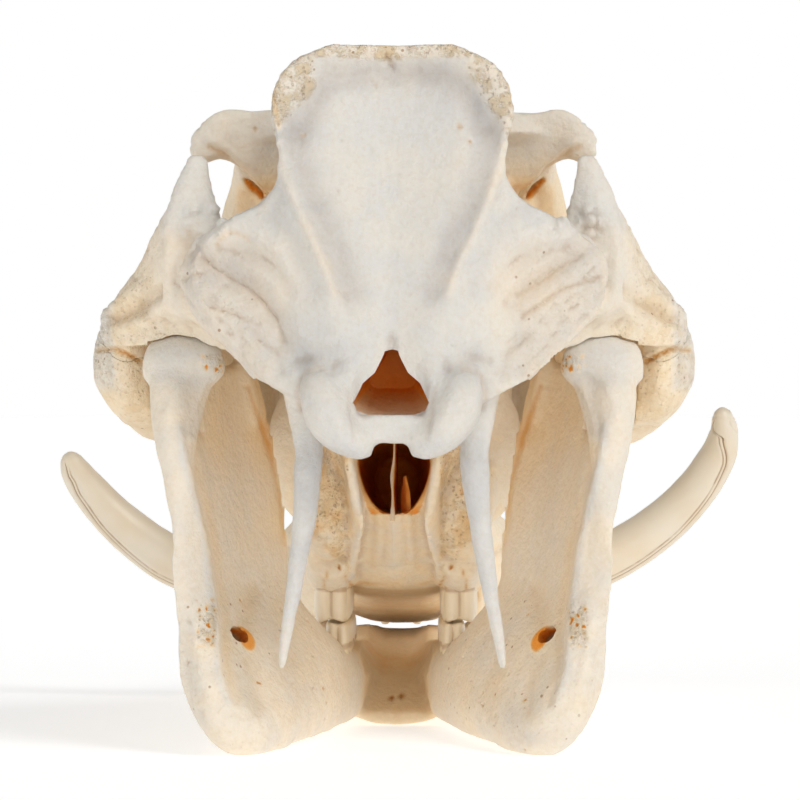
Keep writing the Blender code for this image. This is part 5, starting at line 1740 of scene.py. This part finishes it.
def add_camera(scene):
    """The camera at the photo's place, behind the skull at the height of its middle."""
    lens = bpy.data.cameras.new("camera")
    camera = bpy.data.objects.new("camera", lens)
    scene.collection.objects.link(camera)
    camera.location = place(CAMERA_PLACE)
    camera.rotation_euler = (math.radians(90), 0, math.radians(CAMERA_TURN))
    lens.sensor_width = SENSOR_WIDTH
    lens.lens = FOCAL_PIXELS * SENSOR_WIDTH / PHOTO_WIDTH
    lens.shift_y = SHIFT_PIXELS / PHOTO_WIDTH
    lens.clip_start = 0.05
    scene.camera = camera


class Studio(bpy.types.Operator):
    """Sets the pale floor, the soft lights and the camera"""
    bl_idname = "skull.studio"
    bl_label = "Studio"

    def execute(self, context):
        clear_selection()
        bpy.ops.mesh.primitive_plane_add(size=FLOOR_WIDTH, location=(0, 0, -FLOOR_DROP))
        floor = bpy.context.object
        floor.name = "studio_floor"
        pale = Nodes("studio_floor")
        settings = (("Base Color", (*colours().floor, 1.0)), ("Roughness", 0.8), ("Specular IOR Level", 0.1),
                    ("Emission Color", (1.0, 1.0, 1.0, 1.0)), ("Emission Strength", FLOOR_GLOW))
        for key, value in settings:
            pale.shader.inputs[key].default_value = value
        floor.data.materials.append(pale.material)
        context.scene.view_settings.view_transform = "Standard"
        soft_sky(context.scene)
        add_suns(context.scene)
        add_camera(context.scene)
        return {"FINISHED"}


class SkullPanel(bpy.types.Panel):
    """Lists the pieces of the skull with their sizes and colours"""
    bl_idname = "VIEW3D_PT_skull"
    bl_label = "Warthog Skull"
    bl_space_type = "VIEW_3D"
    bl_region_type = "UI"
    bl_category = "Skull"

    def draw(self, context):
        column = self.layout.column()
        for group in (context.scene.skull_sizes, context.scene.skull_colours):
            for key in group.__annotations__:
                column.prop(group, key)
        for step in STEPS:
            column.operator(step.bl_idname)


STEPS = (UpperSkull, LowerJaw, Teeth, Tusks, Studio)
CLASSES = (SkullSizes, SkullColours) + STEPS + (SkullPanel,)


def register():
    for kind in CLASSES:
        bpy.utils.register_class(kind)
    bpy.types.Scene.skull_sizes = PointerProperty(type=SkullSizes)
    bpy.types.Scene.skull_colours = PointerProperty(type=SkullColours)


def unregister():
    del bpy.types.Scene.skull_colours
    del bpy.types.Scene.skull_sizes
    for kind in reversed(CLASSES):
        bpy.utils.unregister_class(kind)


def main():
    register()
    bpy.ops.skull.upper_skull()
    bpy.ops.skull.lower_jaw()
    bpy.ops.skull.teeth()
    bpy.ops.skull.tusks()
    bpy.ops.skull.studio()


if __name__ == "__main__":
    main()
